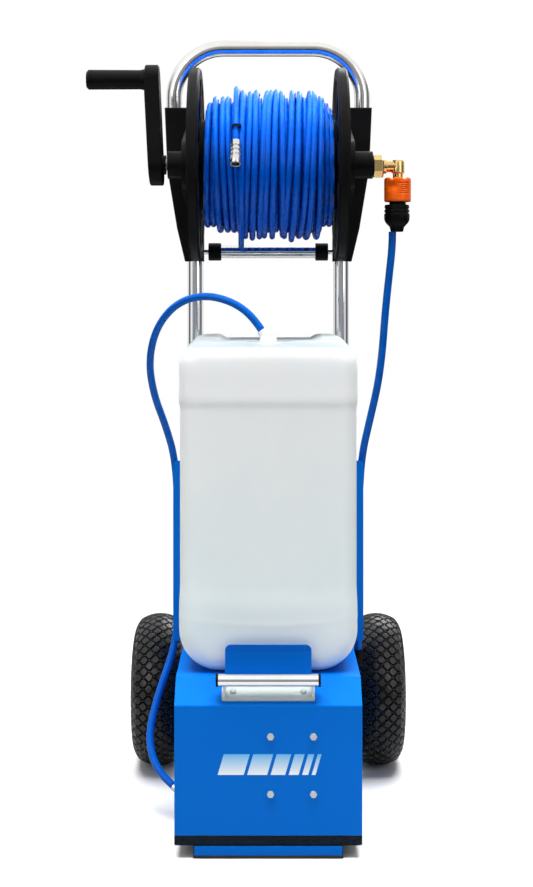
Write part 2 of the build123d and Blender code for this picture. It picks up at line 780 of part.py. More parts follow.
rim_r = 50.0
lip_in = 32.2
lip_out = 34.8
for side, name in ((-1, "left"), (1, "right")):
    wheel_axis = Axis((0, axle_y, axle_z), (1, 0, 0))
    with BuildPart() as tyre:
        with BuildSketch(facing(axle_y, x=side * wheel_x, z=axle_z)):
            with BuildLine():
                Line((-22, bead_r), (-30, bead_r + 4))
                ThreePointArc((-30, bead_r + 4), (-tyre_half, tyre_side_r), (-29, tyre_shoulder_r))
                ThreePointArc((-29, tyre_shoulder_r), (0, tyre_r), (29, tyre_shoulder_r))
                ThreePointArc((29, tyre_shoulder_r), (tyre_half, tyre_side_r), (30, bead_r + 4))
                Line((30, bead_r + 4), (22, bead_r))
                Line((22, bead_r), (24, bead_r + 12))
                ThreePointArc((24, bead_r + 12), (31, tyre_side_r), (23, tyre_shoulder_r - 7))
                ThreePointArc((23, tyre_shoulder_r - 7), (0, tyre_r - 9), (-23, tyre_shoulder_r - 7))
                ThreePointArc((-23, tyre_shoulder_r - 7), (-31, tyre_side_r), (-24, bead_r + 12))
                Line((-24, bead_r + 12), (-22, bead_r))
            make_face()
        revolve(axis=wheel_axis)
    save(tyre, f"{name}_tyre")
    with BuildPart() as rim:
        with BuildSketch(facing(axle_y, x=side * wheel_x, z=axle_z)):
            with BuildLine():
                Polyline(
                    (-hub_half, axle_r + 6),
                    (-hub_half, axle_r + fit),
                    (hub_half, axle_r + fit),
                    (hub_half, axle_r + 6),
                    (5, axle_r + 10),
                    (3, axle_r + 14),
                    (3, rim_r - 12),
                    (21, rim_r - 4.5),
                    (31.5, rim_r + 0.5),
                    (lip_out, rim_r + 7),
                    (lip_out, rim_r + 9),
                    (lip_in, rim_r + 9),
                    (lip_in, rim_r + 7),
                    (30, bead_r + 3.5),
                    (22, bead_r - 0.3),
                    (-22, bead_r - 0.3),
                    (-30, bead_r + 3.5),
                    (-lip_in, rim_r + 7),
                    (-lip_in, rim_r + 9),
                    (-lip_out, rim_r + 9),
                    (-lip_out, rim_r + 7),
                    (-31.5, rim_r + 0.5),
                    (-21, rim_r - 4.5),
                    (-3, rim_r - 12),
                    (-3, axle_r + 14),
                    (-5, axle_r + 10),
                    close=True,
                )
            make_face()
        revolve(axis=wheel_axis)
        with BuildSketch(across(side * wheel_x - 10, axle_y, axle_z)):
            with PolarLocations(30, 4):
                Circle(4)
        extrude(amount=20, mode=Mode.SUBTRACT)
    save(rim, f"{name}_rim")

# ---------------------------------------------------------------- jerrycan
can_middle_y = can_front + can_depth / 2
can_top = shelf_z + can_height
mouth_y = can_front + 52
well_r = 38.0
well_floor = can_top - 30
grip_half = 60.0
grip_y0 = mouth_y + 62
grip_y1 = can_front + can_depth - 24
grip_floor = can_top - 44
neck_r = 24.0


def can_outline(front, inset):
    """The can's front outline, with wide bottom corners and tighter shoulders."""
    low = shelf_z + inset
    high = can_top - inset
    with BuildSketch(facing(front, z=(low + high) / 2), mode=Mode.PRIVATE) as outline:
        Rectangle(can_width - 2 * inset, high - low)
        fillet(outline.vertices().group_by(Axis.Y)[0], radius=56 - inset)
        fillet(outline.vertices().group_by(Axis.Y)[-1], radius=30 - inset)
    return outline.sketch


with BuildPart() as can_cavity:
    extrude(can_outline(can_front + can_wall, can_wall), amount=-(can_depth - 2 * can_wall))
    fillet(can_cavity.faces().filter_by(Axis.Y).edges(), radius=19)
    with BuildSketch(level(well_floor - can_wall, y=mouth_y)):
        Circle(well_r + can_wall)
    extrude(amount=60, mode=Mode.SUBTRACT)
    with BuildSketch(level(grip_floor - can_wall, y=(grip_y0 + grip_y1) / 2)):
        Rectangle(2 * (grip_half + can_wall), grip_y1 - grip_y0 + 2 * can_wall)
    extrude(amount=80, mode=Mode.SUBTRACT)

with BuildPart() as jerrycan:
    extrude(can_outline(can_front, 0), amount=-can_depth)
    fillet(jerrycan.faces().filter_by(Axis.Y).edges(), radius=22)
    with BuildSketch(level(well_floor, y=mouth_y)):
        Circle(well_r)
    extrude(amount=60, mode=Mode.SUBTRACT)
    with BuildSketch(level(grip_floor, y=(grip_y0 + grip_y1) / 2)):
        RectangleRounded(2 * grip_half, grip_y1 - grip_y0, 14)
    extrude(amount=80, mode=Mode.SUBTRACT)
    with BuildSketch(facing(grip_y0 - 1)):
        with Locations((0, can_top - 13)):
            RectangleRounded(30, 24, 10)
    extrude(amount=-(grip_y1 - grip_y0 + 2))
    with BuildSketch(level(well_floor - can_wall, y=mouth_y)):
        Circle(neck_r)
    extrude(amount=can_wall + 16)
    add(can_cavity.part, mode=Mode.SUBTRACT)
    with BuildSketch(level(well_floor - can_wall - 1, y=mouth_y)):
        Circle(neck_r - 3)
    extrude(amount=30, mode=Mode.SUBTRACT)
save(jerrycan, "jerrycan")

cap_r = 30.0
cap_low = well_floor + 2
cap_high = can_top - 6
with BuildPart() as can_cap:
    with BuildSketch(level(cap_low, y=mouth_y)):
        Circle(cap_r)
    extrude(amount=cap_high - cap_low)
    fillet(can_cap.faces().sort_by(Axis.Z)[-1].edges(), radius=2)
    with BuildSketch(level(cap_low, y=mouth_y)):
        Circle(neck_r + 0.3)
    extrude(amount=16.5 - (cap_low - well_floor), mode=Mode.SUBTRACT)
    with BuildSketch(level(cap_low - 1, y=mouth_y)):
        Circle(6 + seat)
    extrude(amount=60, mode=Mode.SUBTRACT)
    with BuildSketch(level(cap_low, y=mouth_y)):
        with PolarLocations(cap_r + 0.6, 36):
            Circle(1.4)
    extrude(amount=cap_high - cap_low - 3, mode=Mode.SUBTRACT)
save(can_cap, "can_cap")

dome_centre = Vector(0.0, mouth_y, can_top)
spout = Vector(-9.0, 2.0, 14.0)
feed_start = dome_centre + spout
with BuildPart() as cap_elbow:
    with BuildSketch(level(shelf_z + 14, y=mouth_y)):
        Circle(6)
        Circle(4, mode=Mode.SUBTRACT)
    extrude(amount=can_top - shelf_z - 14)
    with BuildSketch(level(cap_high, y=mouth_y)):
        Circle(12)
    extrude(amount=can_top - cap_high)
    with BuildSketch(facing(mouth_y, z=can_top)):
        with BuildLine():
            Line((0, 0), (12, 0))
            ThreePointArc((12, 0), (12 * math.sqrt(0.5), 12 * math.sqrt(0.5)), (0, 12))
            Line((0, 12), (0, 0))
        make_face()
    revolve(axis=Axis((0, mouth_y, can_top), (0, 0, 1)))
    with BuildSketch(Plane(origin=dome_centre, z_dir=spout)):
        Circle(7.2)
    extrude(amount=spout.length)
save(cap_elbow, "cap_elbow")

# ---------------------------------------------------------------- hose reel
reel_axis = Axis((0, reel_y, reel_z), (1, 0, 0))
with BuildPart() as reel_drum:
    with BuildSketch(across(-flange_in, reel_y, reel_z)):
        Circle(drum_r)
        Circle(drum_r - 3, mode=Mode.SUBTRACT)
    extrude(amount=2 * flange_in)
save(reel_drum, "reel_drum")

web_thick = 4.0
spoke_count = 6
for side, name in ((-1, "left_flange"), (1, "right_flange")):
    with BuildPart() as flange:
        with BuildSketch(facing(reel_y, z=reel_z)):
            with BuildLine():
                Polyline(
                    (side * flange_in, shaft_r + seat),
                    (side * flange_in, flange_r - 3),
                    (side * (flange_in + 3), flange_r),
                    (side * (flange_out - 3), flange_r),
                    (side * flange_out, flange_r - 3),
                    (side * flange_out, flange_r - 6),
                    (side * (flange_in + web_thick), flange_r - 8),
                    (side * (flange_in + web_thick), 28),
                    (side * (flange_out + 1), 22),
                    (side * (flange_out + 1), shaft_r + seat),
                    close=True,
                )
            make_face()
        revolve(axis=reel_axis)
        with BuildSketch(across(side * (flange_in - 1), reel_y, reel_z)):
            Circle(124)
            Circle(74, mode=Mode.SUBTRACT)
            with PolarLocations(0, spoke_count, angular_range=180):
                Rectangle(2 * flange_r, 18, mode=Mode.SUBTRACT)
        extrude(amount=side * 30, mode=Mode.SUBTRACT)
        with BuildSketch(across(side * (flange_in + web_thick), reel_y, reel_z)):
            with PolarLocations(0, spoke_count, angular_range=180):
                Rectangle(2 * (flange_r - 7), 4)
            Circle(27, mode=Mode.SUBTRACT)
        extrude(amount=side * 6)
    save(flange, name)

shaft_x0 = -168.0
shaft_x1 = 160.0
with BuildPart() as reel_shaft:
    with BuildSketch(across(shaft_x0, reel_y, reel_z)):
        Circle(shaft_r)
    extrude(amount=shaft_x1 - shaft_x0)
save(reel_shaft, "reel_shaft")

arm_slant = 8.0
with BuildPart() as crank_arm:
    with BuildSketch(across(crank_arm_x0 - 4, reel_y, 0)):
        with Locations((0, reel_z)):
            Circle(30)
        with Locations((0, crank_z)):
            Circle(21.5)
        make_hull()
    extrude(amount=crank_arm_x1 - crank_arm_x0 + arm_slant + 8)
    with BuildSketch(facing(reel_y - 40)):
        with BuildLine():
            Polyline(
                (crank_arm_x0, crank_z + 40),
                (crank_arm_x0, crank_z - 22),
                (crank_arm_x0 + arm_slant, reel_z - 40),
                (crank_arm_x1 + arm_slant, reel_z - 40),
                (crank_arm_x1, crank_z + 40),
                close=True,
            )
        make_face()
    extrude(amount=-80, mode=Mode.INTERSECT)
    arm_rim = crank_arm.edges().filter_by(lambda e: e.length > 20)
    fillet(arm_rim, radius=2.5)
    with BuildSketch(across(-148.5, reel_y, reel_z)):
        Circle(14)
    extrude(amount=-16)
    with BuildSketch(across(shaft_x0, reel_y, reel_z)):
        Circle(shaft_r + seat)
    extrude(amount=60, mode=Mode.SUBTRACT)
    with BuildSketch(across(crank_arm_x0 + 4, reel_y, crank_z)):
        Circle(6 + seat)
    extrude(amount=-60, mode=Mode.SUBTRACT)
save(crank_arm, "crank_arm")

grip_x0 = -264.0
grip_x1 = crank_arm_x0 - 0.5
with BuildPart() as crank_pin:
    with BuildSketch(across(crank_arm_x0 + 4, reel_y, crank_z)):
        Circle(6)
    extrude(amount=grip_x0 + 12 - crank_arm_x0 - 4)
save(crank_pin, "crank_pin")

with BuildPart() as crank_grip:
    with BuildSketch(facing(reel_y, z=crank_z)):
        with BuildLine():
            Polyline(
                (grip_x0, 0),
                (grip_x0, 11.5),
                (grip_x0 + 3, 14.4),
                (grip_x1 - 6, 14.0),
                (grip_x1, 15.5),
                (grip_x1, 6 + fit),
                (grip_x0 + 11, 6 + fit),
                (grip_x0 + 11, 0),
                close=True,
            )
        make_face()
    revolve(axis=Axis((0, reel_y, crank_z), (1, 0, 0)))
save(crank_grip, "crank_grip")

# ---------------------------------------------------------------- wound hose and its free end
nipple_x = -45.0
crown_r = coil_r + 2
tail_r = crown_r + reel_hose_r - 0.75
hose_end_z = 945.0
tie_z = 967.0


def on_coil(z):
    """Plane on the free end's line at height z, facing back along the hose, away from its end."""
    rise = math.asin((z - reel_z) / tail_r)
    return Plane(
        origin=(nipple_x, reel_y - tail_r * math.cos(rise), z),
        x_dir=(1, 0, 0),
        z_dir=(0, math.sin(rise), math.cos(rise)),
    )


hose_end = on_coil(hose_end_z)
with BuildPart() as hose_coil:
    with BuildSketch(facing(reel_y, z=reel_z)):
        with BuildLine():
            Polyline(
                (-flange_in + 0.4, drum_r + 0.3),
                (-flange_in + 0.4, coil_r - 3),
                (-flange_in * 0.7, crown_r),
                (flange_in * 0.7, crown_r),
                (flange_in - 0.4, coil_r - 3),
                (flange_in - 0.4, drum_r + 0.3),
                close=True,
            )
        make_face()
    revolve(axis=reel_axis)
    with BuildLine():
        ThreePointArc(hose_end.origin, on_coil(1000).origin, on_coil(reel_z + tail_r - 1).origin)
    with BuildSketch(hose_end):
        Circle(reel_hose_r)
    sweep()
save(hose_coil, "hose_coil")

with BuildPart() as hose_nipple:
    with BuildSketch(Plane(origin=hose_end.origin, x_dir=(1, 0, 0), z_dir=-hose_end.y_dir)):
        with BuildLine():
            Polyline(
                (0, 0),
                (8.2, 0),
                (8.2, -6),
                (5.2, -7),
                (5.2, -10),
                (7.8, -11),
                (7.8, -14.5),
                (6.4, -15.5),
                (6.4, -17),
                (7.6, -18),
                (7.6, -22),
                (6.6, -23),
                (6.6, -24.5),
                (8.0, -26),
                (8.0, -38),
                (5.4, -38),
                (5.4, -28),
                (2.8, -26),
                (2.8, -6),
                (0, -6),
                close=True,
            )
        make_face()
    revolve(axis=Axis(hose_end.origin, hose_end.z_dir))
save(hose_nipple, "hose_nipple")

with BuildPart() as hose_tie:
    with BuildSketch(on_coil(tie_z)):
        Circle(reel_hose_r + 1.4)
        Circle(reel_hose_r + 0.1, mode=Mode.SUBTRACT)
        with Locations((5.5, -3)):
            Rectangle(4, 5)
        Circle(reel_hose_r + 0.1, mode=Mode.SUBTRACT)
    extrude(amount=4)
save(hose_tie, "hose_tie")

# ---------------------------------------------------------------- swivel and quick connector
elbow_x = 188.0
connector_x = 185.0
with BuildPart() as swivel_elbow:
    with BuildSketch(across(boss_end[1], reel_y, reel_z)):
        RegularPolygon(17.5, 6)
    extrude(amount=19)
    with BuildSketch(across(boss_end[1] + 19, reel_y, reel_z)):
        RegularPolygon(12.5, 6)
    extrude(amount=8)
    with BuildSketch(across(boss_end[1] + 27, reel_y, reel_z)):
        Circle(8)
    extrude(amount=elbow_x - boss_end[1] - 27)
    with BuildSketch(level(900, x=elbow_x, y=reel_y)):
        Circle(10)
    extrude(amount=37)
    fillet(swivel_elbow.faces().sort_by(Axis.Z)[-1].edges(), radius=1.5)
    with BuildSketch(level(880, x=elbow_x, y=reel_y)):
        Circle(7)
    extrude(amount=20)
    with BuildSketch(across(boss_end[1] - 1, reel_y, reel_z)):
        Circle(shaft_r + fit)
    extrude(amount=shaft_x1 - boss_end[1] + 3, mode=Mode.SUBTRACT)
save(swivel_elbow, "swivel_elbow")

connector_top = 905.0
connector_mid = 866.0
hose_exit = Vector(180.5, reel_y, 827.0)
collar_travel = 4.0
with BuildPart() as connector_body:
    with BuildSketch(level(connector_mid, x=elbow_x, y=reel_y)):
        Circle(12)
    extrude(amount=connector_top - connector_mid - collar_travel - 3)
    with BuildSketch(level(879.5, x=elbow_x, y=reel_y)):
        Circle(7 + seat)
    extrude(amount=40, mode=Mode.SUBTRACT)
save(connector_body, "connector_body")

with BuildPart() as connector_collar:
    with BuildSketch(level(connector_mid + 0.5 + collar_travel, x=elbow_x, y=reel_y)):
        Circle(18.5)
    with BuildSketch(level(connector_top, x=elbow_x, y=reel_y)):
        Circle(19.5)
    loft()
    fillet(connector_collar.faces().sort_by(Axis.Z)[-1].edges(), radius=2)
    with BuildSketch(level(connector_mid, x=elbow_x, y=reel_y)):
        Circle(12.4)
    extrude(amount=60, mode=Mode.SUBTRACT)
save(connector_collar, "connector_collar")

with BuildPart() as connector_nut:
    with BuildSketch(level(connector_mid - 1, x=elbow_x - 0.5, y=reel_y)):
        Circle(18)
    extrude(amount=1)
    with BuildSketch(level(connector_mid - 1, x=elbow_x - 0.5, y=reel_y)):
        Circle(18)
    with BuildSketch(level(connector_mid - 18, x=elbow_x - 2.5, y=reel_y)):
        Circle(17)
    with BuildSketch(level(connector_mid - 27, x=elbow_x - 5, y=reel_y)):
        Circle(10)
    with BuildSketch(level(hose_exit.Z, x=hose_exit.X, y=reel_y)):
        Circle(7.5)
    loft(ruled=True)
save(connector_nut, "connector_nut")


# ---------------------------------------------------------------- the two free hoses
def bend_radii(points):
    """Largest radius that each corner's two runs allow."""
    radii = []
    for before, corner, after in zip(points, points[1:], points[2:]):
        into = Vector(*corner) - Vector(*before)
        out = Vector(*after) - Vector(*corner)
        half_turn = math.radians(into.get_angle(out)) / 2
        radii.append(0.45 * min(into.length, out.length) / math.tan(half_turn))
    return radii


feed_points = [
    (feed_start.X, feed_start.Y, feed_start.Z),
    (-21.6, 65.8, 705.6),
    (-50, 71, 726),
    (-89, 82, 735),
    (-128, 101, 724),
    (-158, 126, 690),
    (-171, 152, 642),
    (-166, 178, 592),
    (-150, 202, 544),
    (-138, 219, 498),
    (-134, 224, 436),
    (-133.4, 225, 365),
    (-133.6, 224.5, 298),
    (-134.5, 222.5, 238),
    (-142.5, 213, 203),
    (-156, 197, 166),
    (-166.5, 180, 131),
    (-171, 160, 101),
    (-164.5, 139, 76),
    (-149.5, 122.9, 56.3),
    (feed_end.X, feed_end.Y, feed_end.Z),
]
delivery_points = [
    (hose_exit.X, hose_exit.Y, hose_exit.Z),
    (180.5, 190, 806),
    (176, 192, 765),
    (170.5, 196.5, 710),
    (167, 202, 655),
    (161, 209, 604),
    (149.5, 219, 551),
    (138.5, 228, 500),
    (134.8, 234, 440),
    (133.9, 239, 375),
    (134, 243, 312),
    (134.2, 248, 253),
    (outlet_x, outlet_y, outlet_top),
]
for points, radius, name in (
    (feed_points, feed_hose_r, "feed_hose"),
    (delivery_points, delivery_hose_r, "delivery_hose"),
):
    radii = bend_radii(points)
    with BuildPart() as hose:
        with BuildLine() as route:
            FilletPolyline(*points, radius=radii)
        with BuildSketch(Plane(origin=route.line @ 0, z_dir=route.line % 0)):
            Circle(radius)
        sweep()
    save(hose, name)
    length = sum(edge.length for edge in route.edges())
    print(name, "length", round(length, 1), "radii", [round(r) for r in radii])
    print("  volume / (section x length) =", round(hose.part.volume / (math.pi * radius**2 * length), 4))
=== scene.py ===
import json
import math

import bmesh
import bpy
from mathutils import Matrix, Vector, noise
from mathutils.bvhtree import BVHTree


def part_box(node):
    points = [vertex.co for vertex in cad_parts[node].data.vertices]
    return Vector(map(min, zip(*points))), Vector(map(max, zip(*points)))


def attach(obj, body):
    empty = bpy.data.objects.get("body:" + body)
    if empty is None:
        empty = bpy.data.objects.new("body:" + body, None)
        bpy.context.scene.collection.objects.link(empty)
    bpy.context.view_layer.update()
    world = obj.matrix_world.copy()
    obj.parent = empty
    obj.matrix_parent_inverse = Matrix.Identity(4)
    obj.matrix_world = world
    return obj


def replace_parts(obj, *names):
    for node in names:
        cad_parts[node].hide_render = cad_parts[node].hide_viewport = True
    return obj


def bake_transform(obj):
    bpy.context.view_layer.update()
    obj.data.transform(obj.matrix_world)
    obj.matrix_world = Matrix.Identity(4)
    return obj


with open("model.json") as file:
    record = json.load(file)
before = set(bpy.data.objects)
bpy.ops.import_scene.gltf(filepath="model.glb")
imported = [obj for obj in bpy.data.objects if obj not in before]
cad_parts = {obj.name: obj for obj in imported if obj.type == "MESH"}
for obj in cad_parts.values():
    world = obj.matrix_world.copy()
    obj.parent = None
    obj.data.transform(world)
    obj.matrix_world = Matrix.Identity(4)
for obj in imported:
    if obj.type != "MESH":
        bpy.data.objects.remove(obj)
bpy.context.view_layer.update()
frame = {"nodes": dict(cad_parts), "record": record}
nodes = frame["nodes"]
scene = bpy.context.scene


# ---------------------------------------------------------------- camera
camera_data = bpy.data.cameras.new("camera")
camera_data.lens = 62.3
camera_data.sensor_width = 36.0
camera_data.shift_x = -0.002
camera_data.shift_y = -0.162
camera = bpy.data.objects.new("camera", camera_data)
camera.location = (0.0, -2.042, 0.728)
camera.rotation_euler = (math.pi / 2, 0.0, 0.0)
scene.collection.objects.link(camera)
scene.camera = camera
scene.view_settings.view_transform = "Standard"


# ---------------------------------------------------------------- materials
class Look:
    """A Principled material and the nodes that feed it, all on object coordinates."""

    def __init__(self, name, roughness=0.5, metallic=0.0, **sockets):
        self.material = bpy.data.materials.new(name)
        self.material.use_nodes = True
        self.tree = self.material.node_tree
        self.shader = self.tree.nodes["Principled BSDF"]
        self.place = self.node("ShaderNodeTexCoord").outputs["Object"]
        self.shader.inputs["Roughness"].default_value = roughness
        self.shader.inputs["Metallic"].default_value = metallic
        for socket, value in sockets.items():
            self.shader.inputs[socket.replace("_", " ")].default_value = value

    def node(self, kind, **values):
        made = self.tree.nodes.new(kind)
        for key, value in values.items():
            setattr(made, key, value)
        return made

    def link(self, source, target):
        self.tree.links.new(source, target)

    def noise(self, scale, detail=3.0, stretch=(1, 1, 1), rough=0.5):
        mapping = self.node("ShaderNodeMapping")
        mapping.inputs["Scale"].default_value = stretch
        self.link(self.place, mapping.inputs["Vector"])
        texture = self.node("ShaderNodeTexNoise")
        texture.inputs["Scale"].default_value = scale
        texture.inputs["Detail"].default_value = detail
        texture.inputs["Roughness"].default_value = rough
        self.link(mapping.outputs["Vector"], texture.inputs["Vector"])
        return texture.outputs["Fac"]

    def spread(self, value, low, high, out_low=0.0, out_high=1.0):
        scaled = self.node("ShaderNodeMapRange", clamp=True)
        for socket, number in zip(
            ("From Min", "From Max", "To Min", "To Max"), (low, high, out_low, out_high)
        ):
            scaled.inputs[socket].default_value = number
        self.link(value, scaled.inputs["Value"])
        return scaled.outputs["Result"]

    def mix(self, factor, first, second):
        blend = self.node("ShaderNodeMix", data_type="RGBA")
        self.link(factor, blend.inputs["Factor"])
        for socket, value in ((blend.inputs[6], first), (blend.inputs[7], second)):
            if isinstance(value, tuple):
                socket.default_value = (*value, 1.0)
            else:
                self.link(value, socket)
        return blend.outputs[2]

    def product(self, first, second):
        times = self.node("ShaderNodeMath", operation="MULTIPLY")
        self.link(first, times.inputs[0])
        self.link(second, times.inputs[1])
        return times.outputs["Value"]

    def edges(self, radius):
        """1 on the solid's edges, where wear and painted highlight go, 0 on its flat faces."""
        bevel = self.node("ShaderNodeBevel", samples=4)
        bevel.inputs["Radius"].default_value = radius
        plain = self.node("ShaderNodeNewGeometry")
        dot = self.node("ShaderNodeVectorMath", operation="DOT_PRODUCT")
        self.link(bevel.outputs["Normal"], dot.inputs[0])
        self.link(plain.outputs["True Normal"], dot.inputs[1])
        return self.spread(dot.outputs["Value"], 0.99, 0.86)

    def axis(self, name):
        split = self.node("ShaderNodeSeparateXYZ")
        self.link(self.place, split.inputs["Vector"])
        return split.outputs[name]

    def color(self, value):
        if isinstance(value, tuple):
            self.shader.inputs["Base Color"].default_value = (*value, 1.0)
        else:
            self.link(value, self.shader.inputs["Base Color"])

    def rough(self, value):
        self.link(value, self.shader.inputs["Roughness"])

    def relief(self, height, distance, soften=0.0):
        """A fine grain, with the solid's sharp edges rounded for the light when soften is given."""
        bump = self.node("ShaderNodeBump")
        bump.inputs["Distance"].default_value = distance
        bump.inputs["Strength"].default_value = 1.0
        self.link(height, bump.inputs["Height"])
        if soften:
            bevel = self.node("ShaderNodeBevel", samples=6)
            bevel.inputs["Radius"].default_value = soften
            self.link(bevel.outputs["Normal"], bump.inputs["Normal"])
        self.link(bump.outputs["Normal"], self.shader.inputs["Normal"])


def surface(
    name, base, patch, rough, grain, metallic=0.0, patch_scale=14.0, stretch=(1, 1, 1), soften=0.0006,
    edge_wear_and_sheen=None, **sockets
):
    """A finish with patches of a second colour, uneven gloss, a fine grain and, if asked, lighter edges: worn
    edges, and on the blue powder coat a painted highlight.

    rough is the lowest and highest roughness, grain is the noise scale and its height in metres.
    """
    look = Look(name, metallic=metallic, **sockets)
    blotches = look.spread(look.noise(patch_scale, 4.0), 0.35, 0.7)
    color = look.mix(blotches, base, patch)
    # The edge colour is wear on most finishes, and a painted highlight along the folds of the blue powder
    # coat.
    if edge_wear_and_sheen:
        worn_and_sheen_edges = look.product(look.edges(0.0012), look.spread(look.noise(60.0, 3.0), 0.4, 0.65))
        color = look.mix(worn_and_sheen_edges, color, edge_wear_and_sheen)
    look.color(color)
    look.rough(look.spread(look.noise(patch_scale * 3.1, 5.0), 0.3, 0.72, rough[0], rough[1]))
    look.relief(look.noise(grain[0], 2.0, stretch), grain[1], soften)
    return look


looks = {
    # Its lighter blue along the edges is a painted highlight on the folded lips, patchy by noise.
    "blue_powder_coat": surface(
        "blue_powder_coat", (0.0, 0.15, 0.64), (0.0, 0.163, 0.69), (0.36, 0.48), (900.0, 0.00003),
        edge_wear_and_sheen=(0.02, 0.3, 0.9), patch_scale=4.0, Specular_IOR_Level=0.07,
    ),
    "board_black": surface(
        "board_black", (0.002, 0.006, 0.012), (0.008, 0.017, 0.03), (0.4, 0.65), (520.0, 0.0003),
        patch_scale=300.0, Specular_IOR_Level=0.12,
    ),
    "rubber_black": surface(
        "rubber_black", (0.012, 0.012, 0.012), (0.02, 0.02, 0.02), (0.6, 0.8), (700.0, 0.0002),
    ),
    "chrome": surface(
        "chrome", (0.9, 0.91, 0.92), (0.84, 0.85, 0.86), (0.05, 0.12), (500.0, 0.000001),
        metallic=1.0, patch_scale=20.0,
    ),
    "stainless": surface(
        "stainless", (0.88, 0.86, 0.83), (0.8, 0.78, 0.75), (0.19, 0.24), (260.0, 0.000002),
        metallic=1.0, stretch=(1, 1, 12), patch_scale=22.0,
    ),
    "zinc": surface(
        "zinc", (0.6, 0.66, 0.64), (0.56, 0.61, 0.6), (0.36, 0.42), (420.0, 0.000002),
        metallic=0.45, patch_scale=40.0,
    ),
    "black_plastic": surface(
        "black_plastic", (0.004, 0.004, 0.0045), (0.007, 0.007, 0.0075), (0.3, 0.48), (850.0, 0.00004),
        edge_wear_and_sheen=(0.03, 0.03, 0.03), soften=0.0008, Specular_IOR_Level=0.07,
    ),
    "white_plastic": surface(
        "white_plastic", (0.86, 0.89, 0.89), (0.8, 0.83, 0.84), (0.3, 0.45), (300.0, 0.00005),
        Subsurface_Weight=0.15, Subsurface_Radius=(0.01, 0.01, 0.01),
    ),
    "rim_steel": surface(
        "rim_steel", (0.55, 0.56, 0.57), (0.48, 0.49, 0.5), (0.3, 0.45), (500.0, 0.00006), metallic=0.7,
        edge_wear_and_sheen=(0.75, 0.75, 0.75),
    ),
    "brass": surface(
        "brass", (0.87, 0.64, 0.28), (0.8, 0.54, 0.2), (0.14, 0.28), (380.0, 0.000003), metallic=1.0,
        patch_scale=60.0, edge_wear_and_sheen=(0.95, 0.8, 0.5), soften=0.0007,
    ),
    "nickel": surface(
        "nickel", (0.8, 0.78, 0.74), (0.68, 0.66, 0.63), (0.1, 0.2), (420.0, 0.000002), metallic=1.0,
        patch_scale=70.0,
    ),
    "orange_plastic": surface(
        "orange_plastic", (0.98, 0.135, 0.002), (0.92, 0.115, 0.002), (0.28, 0.4), (400.0, 0.00002),
        patch_scale=40.0, Specular_IOR_Level=0.3,
    ),
    "battery_case": surface(
        "battery_case", (0.05, 0.05, 0.055), (0.06, 0.06, 0.065), (0.4, 0.55), (300.0, 0.0001),
    ),
    "motor_enamel": surface(
        "motor_enamel", (0.03, 0.03, 0.033), (0.04, 0.04, 0.044), (0.35, 0.5), (300.0, 0.0001),
    ),
    "display_plastic": surface(
        "display_plastic", (0.02, 0.025, 0.02), (0.03, 0.036, 0.03), (0.12, 0.25), (300.0, 0.00003),
        Coat_Weight=0.4,
    ),
    "red_plastic": surface(
        "red_plastic", (0.55, 0.01, 0.008), (0.48, 0.008, 0.008), (0.22, 0.36), (300.0, 0.00004),
    ),
}


def hose_look(name, base, patch, gloss):
    """Extruded hose: glossy, with faint lengthwise unevenness and some scuffs."""
    look = Look(name, Coat_Weight=gloss, Coat_Roughness=0.06, Specular_IOR_Level=0.12)
    shade = look.mix(look.spread(look.noise(35.0, 3.0), 0.35, 0.7), base, patch)
    scuff = look.spread(look.noise(420.0, 4.0, rough=0.7), 0.66, 0.78, 0.0, 0.35)
    look.color(look.mix(scuff, shade, (0.05, 0.25, 0.75)))
    look.rough(look.spread(look.noise(90.0, 4.0), 0.3, 0.7, 0.2, 0.34))
    look.relief(look.noise(160.0, 2.0), 0.00005)
    return look


looks["blue_hose"] = hose_look("blue_hose", (0.0, 0.1, 0.5), (0.0, 0.125, 0.58), 0.08)
looks["reel_hose"] = hose_look("reel_hose", (0.0, 0.09, 0.57), (0.0, 0.113, 0.71), 0.14)

tyre_look = Look("tyre", Specular_IOR_Level=0.5)
dust = tyre_look.spread(tyre_look.noise(28.0, 5.0), 0.35, 0.75)
tyre_look.color(tyre_look.mix(dust, (0.003, 0.003, 0.003), (0.009, 0.009, 0.0085)))
tyre_look.rough(tyre_look.spread(tyre_look.noise(70.0, 4.0), 0.3, 0.7, 0.22, 0.4))
tyre_look.relief(tyre_look.noise(520.0, 3.0), 0.00006)
looks["tyre"] = tyre_look

can_look = Look(
    "can_plastic", Subsurface_Weight=0.5, Subsurface_Radius=(0.05, 0.055, 0.06), Subsurface_Scale=0.5,
    Specular_IOR_Level=0.4,
)
cloud = can_look.spread(can_look.noise(9.0, 3.0), 0.35, 0.7)
haze = can_look.mix(cloud, (0.79, 0.88, 0.89), (0.84, 0.91, 0.92))
# Painted light: the walls are painted lighter towards the top, and the faces that look upward are painted a
# darker grey as painted shade.
painted_light_up_can = can_look.spread(can_look.axis("Z"), 0.3, 0.66)
facing = can_look.node("ShaderNodeSeparateXYZ")
can_look.link(can_look.node("ShaderNodeNewGeometry").outputs["Normal"], facing.inputs["Vector"])
painted_shade_top_faces = can_look.spread(facing.outputs["Z"], 0.1, 0.75)
walls = can_look.mix(painted_light_up_can, haze, (0.94, 0.97, 0.97))
can_look.color(can_look.mix(painted_shade_top_faces, walls, (0.33, 0.37, 0.38)))
can_look.rough(can_look.spread(can_look.noise(30.0, 4.0), 0.3, 0.7, 0.32, 0.46))
can_look.relief(can_look.noise(240.0, 3.0), 0.00006)
looks["can_plastic"] = can_look


def dress(piece, slot):
    piece.data.materials.clear()
    piece.data.materials.append(looks[slot].material)


slots = {row["node"]: row["material_slot"] for row in frame["record"]["subparts"]}
for node_name, node in nodes.items():
    dress(node, slots[node_name])


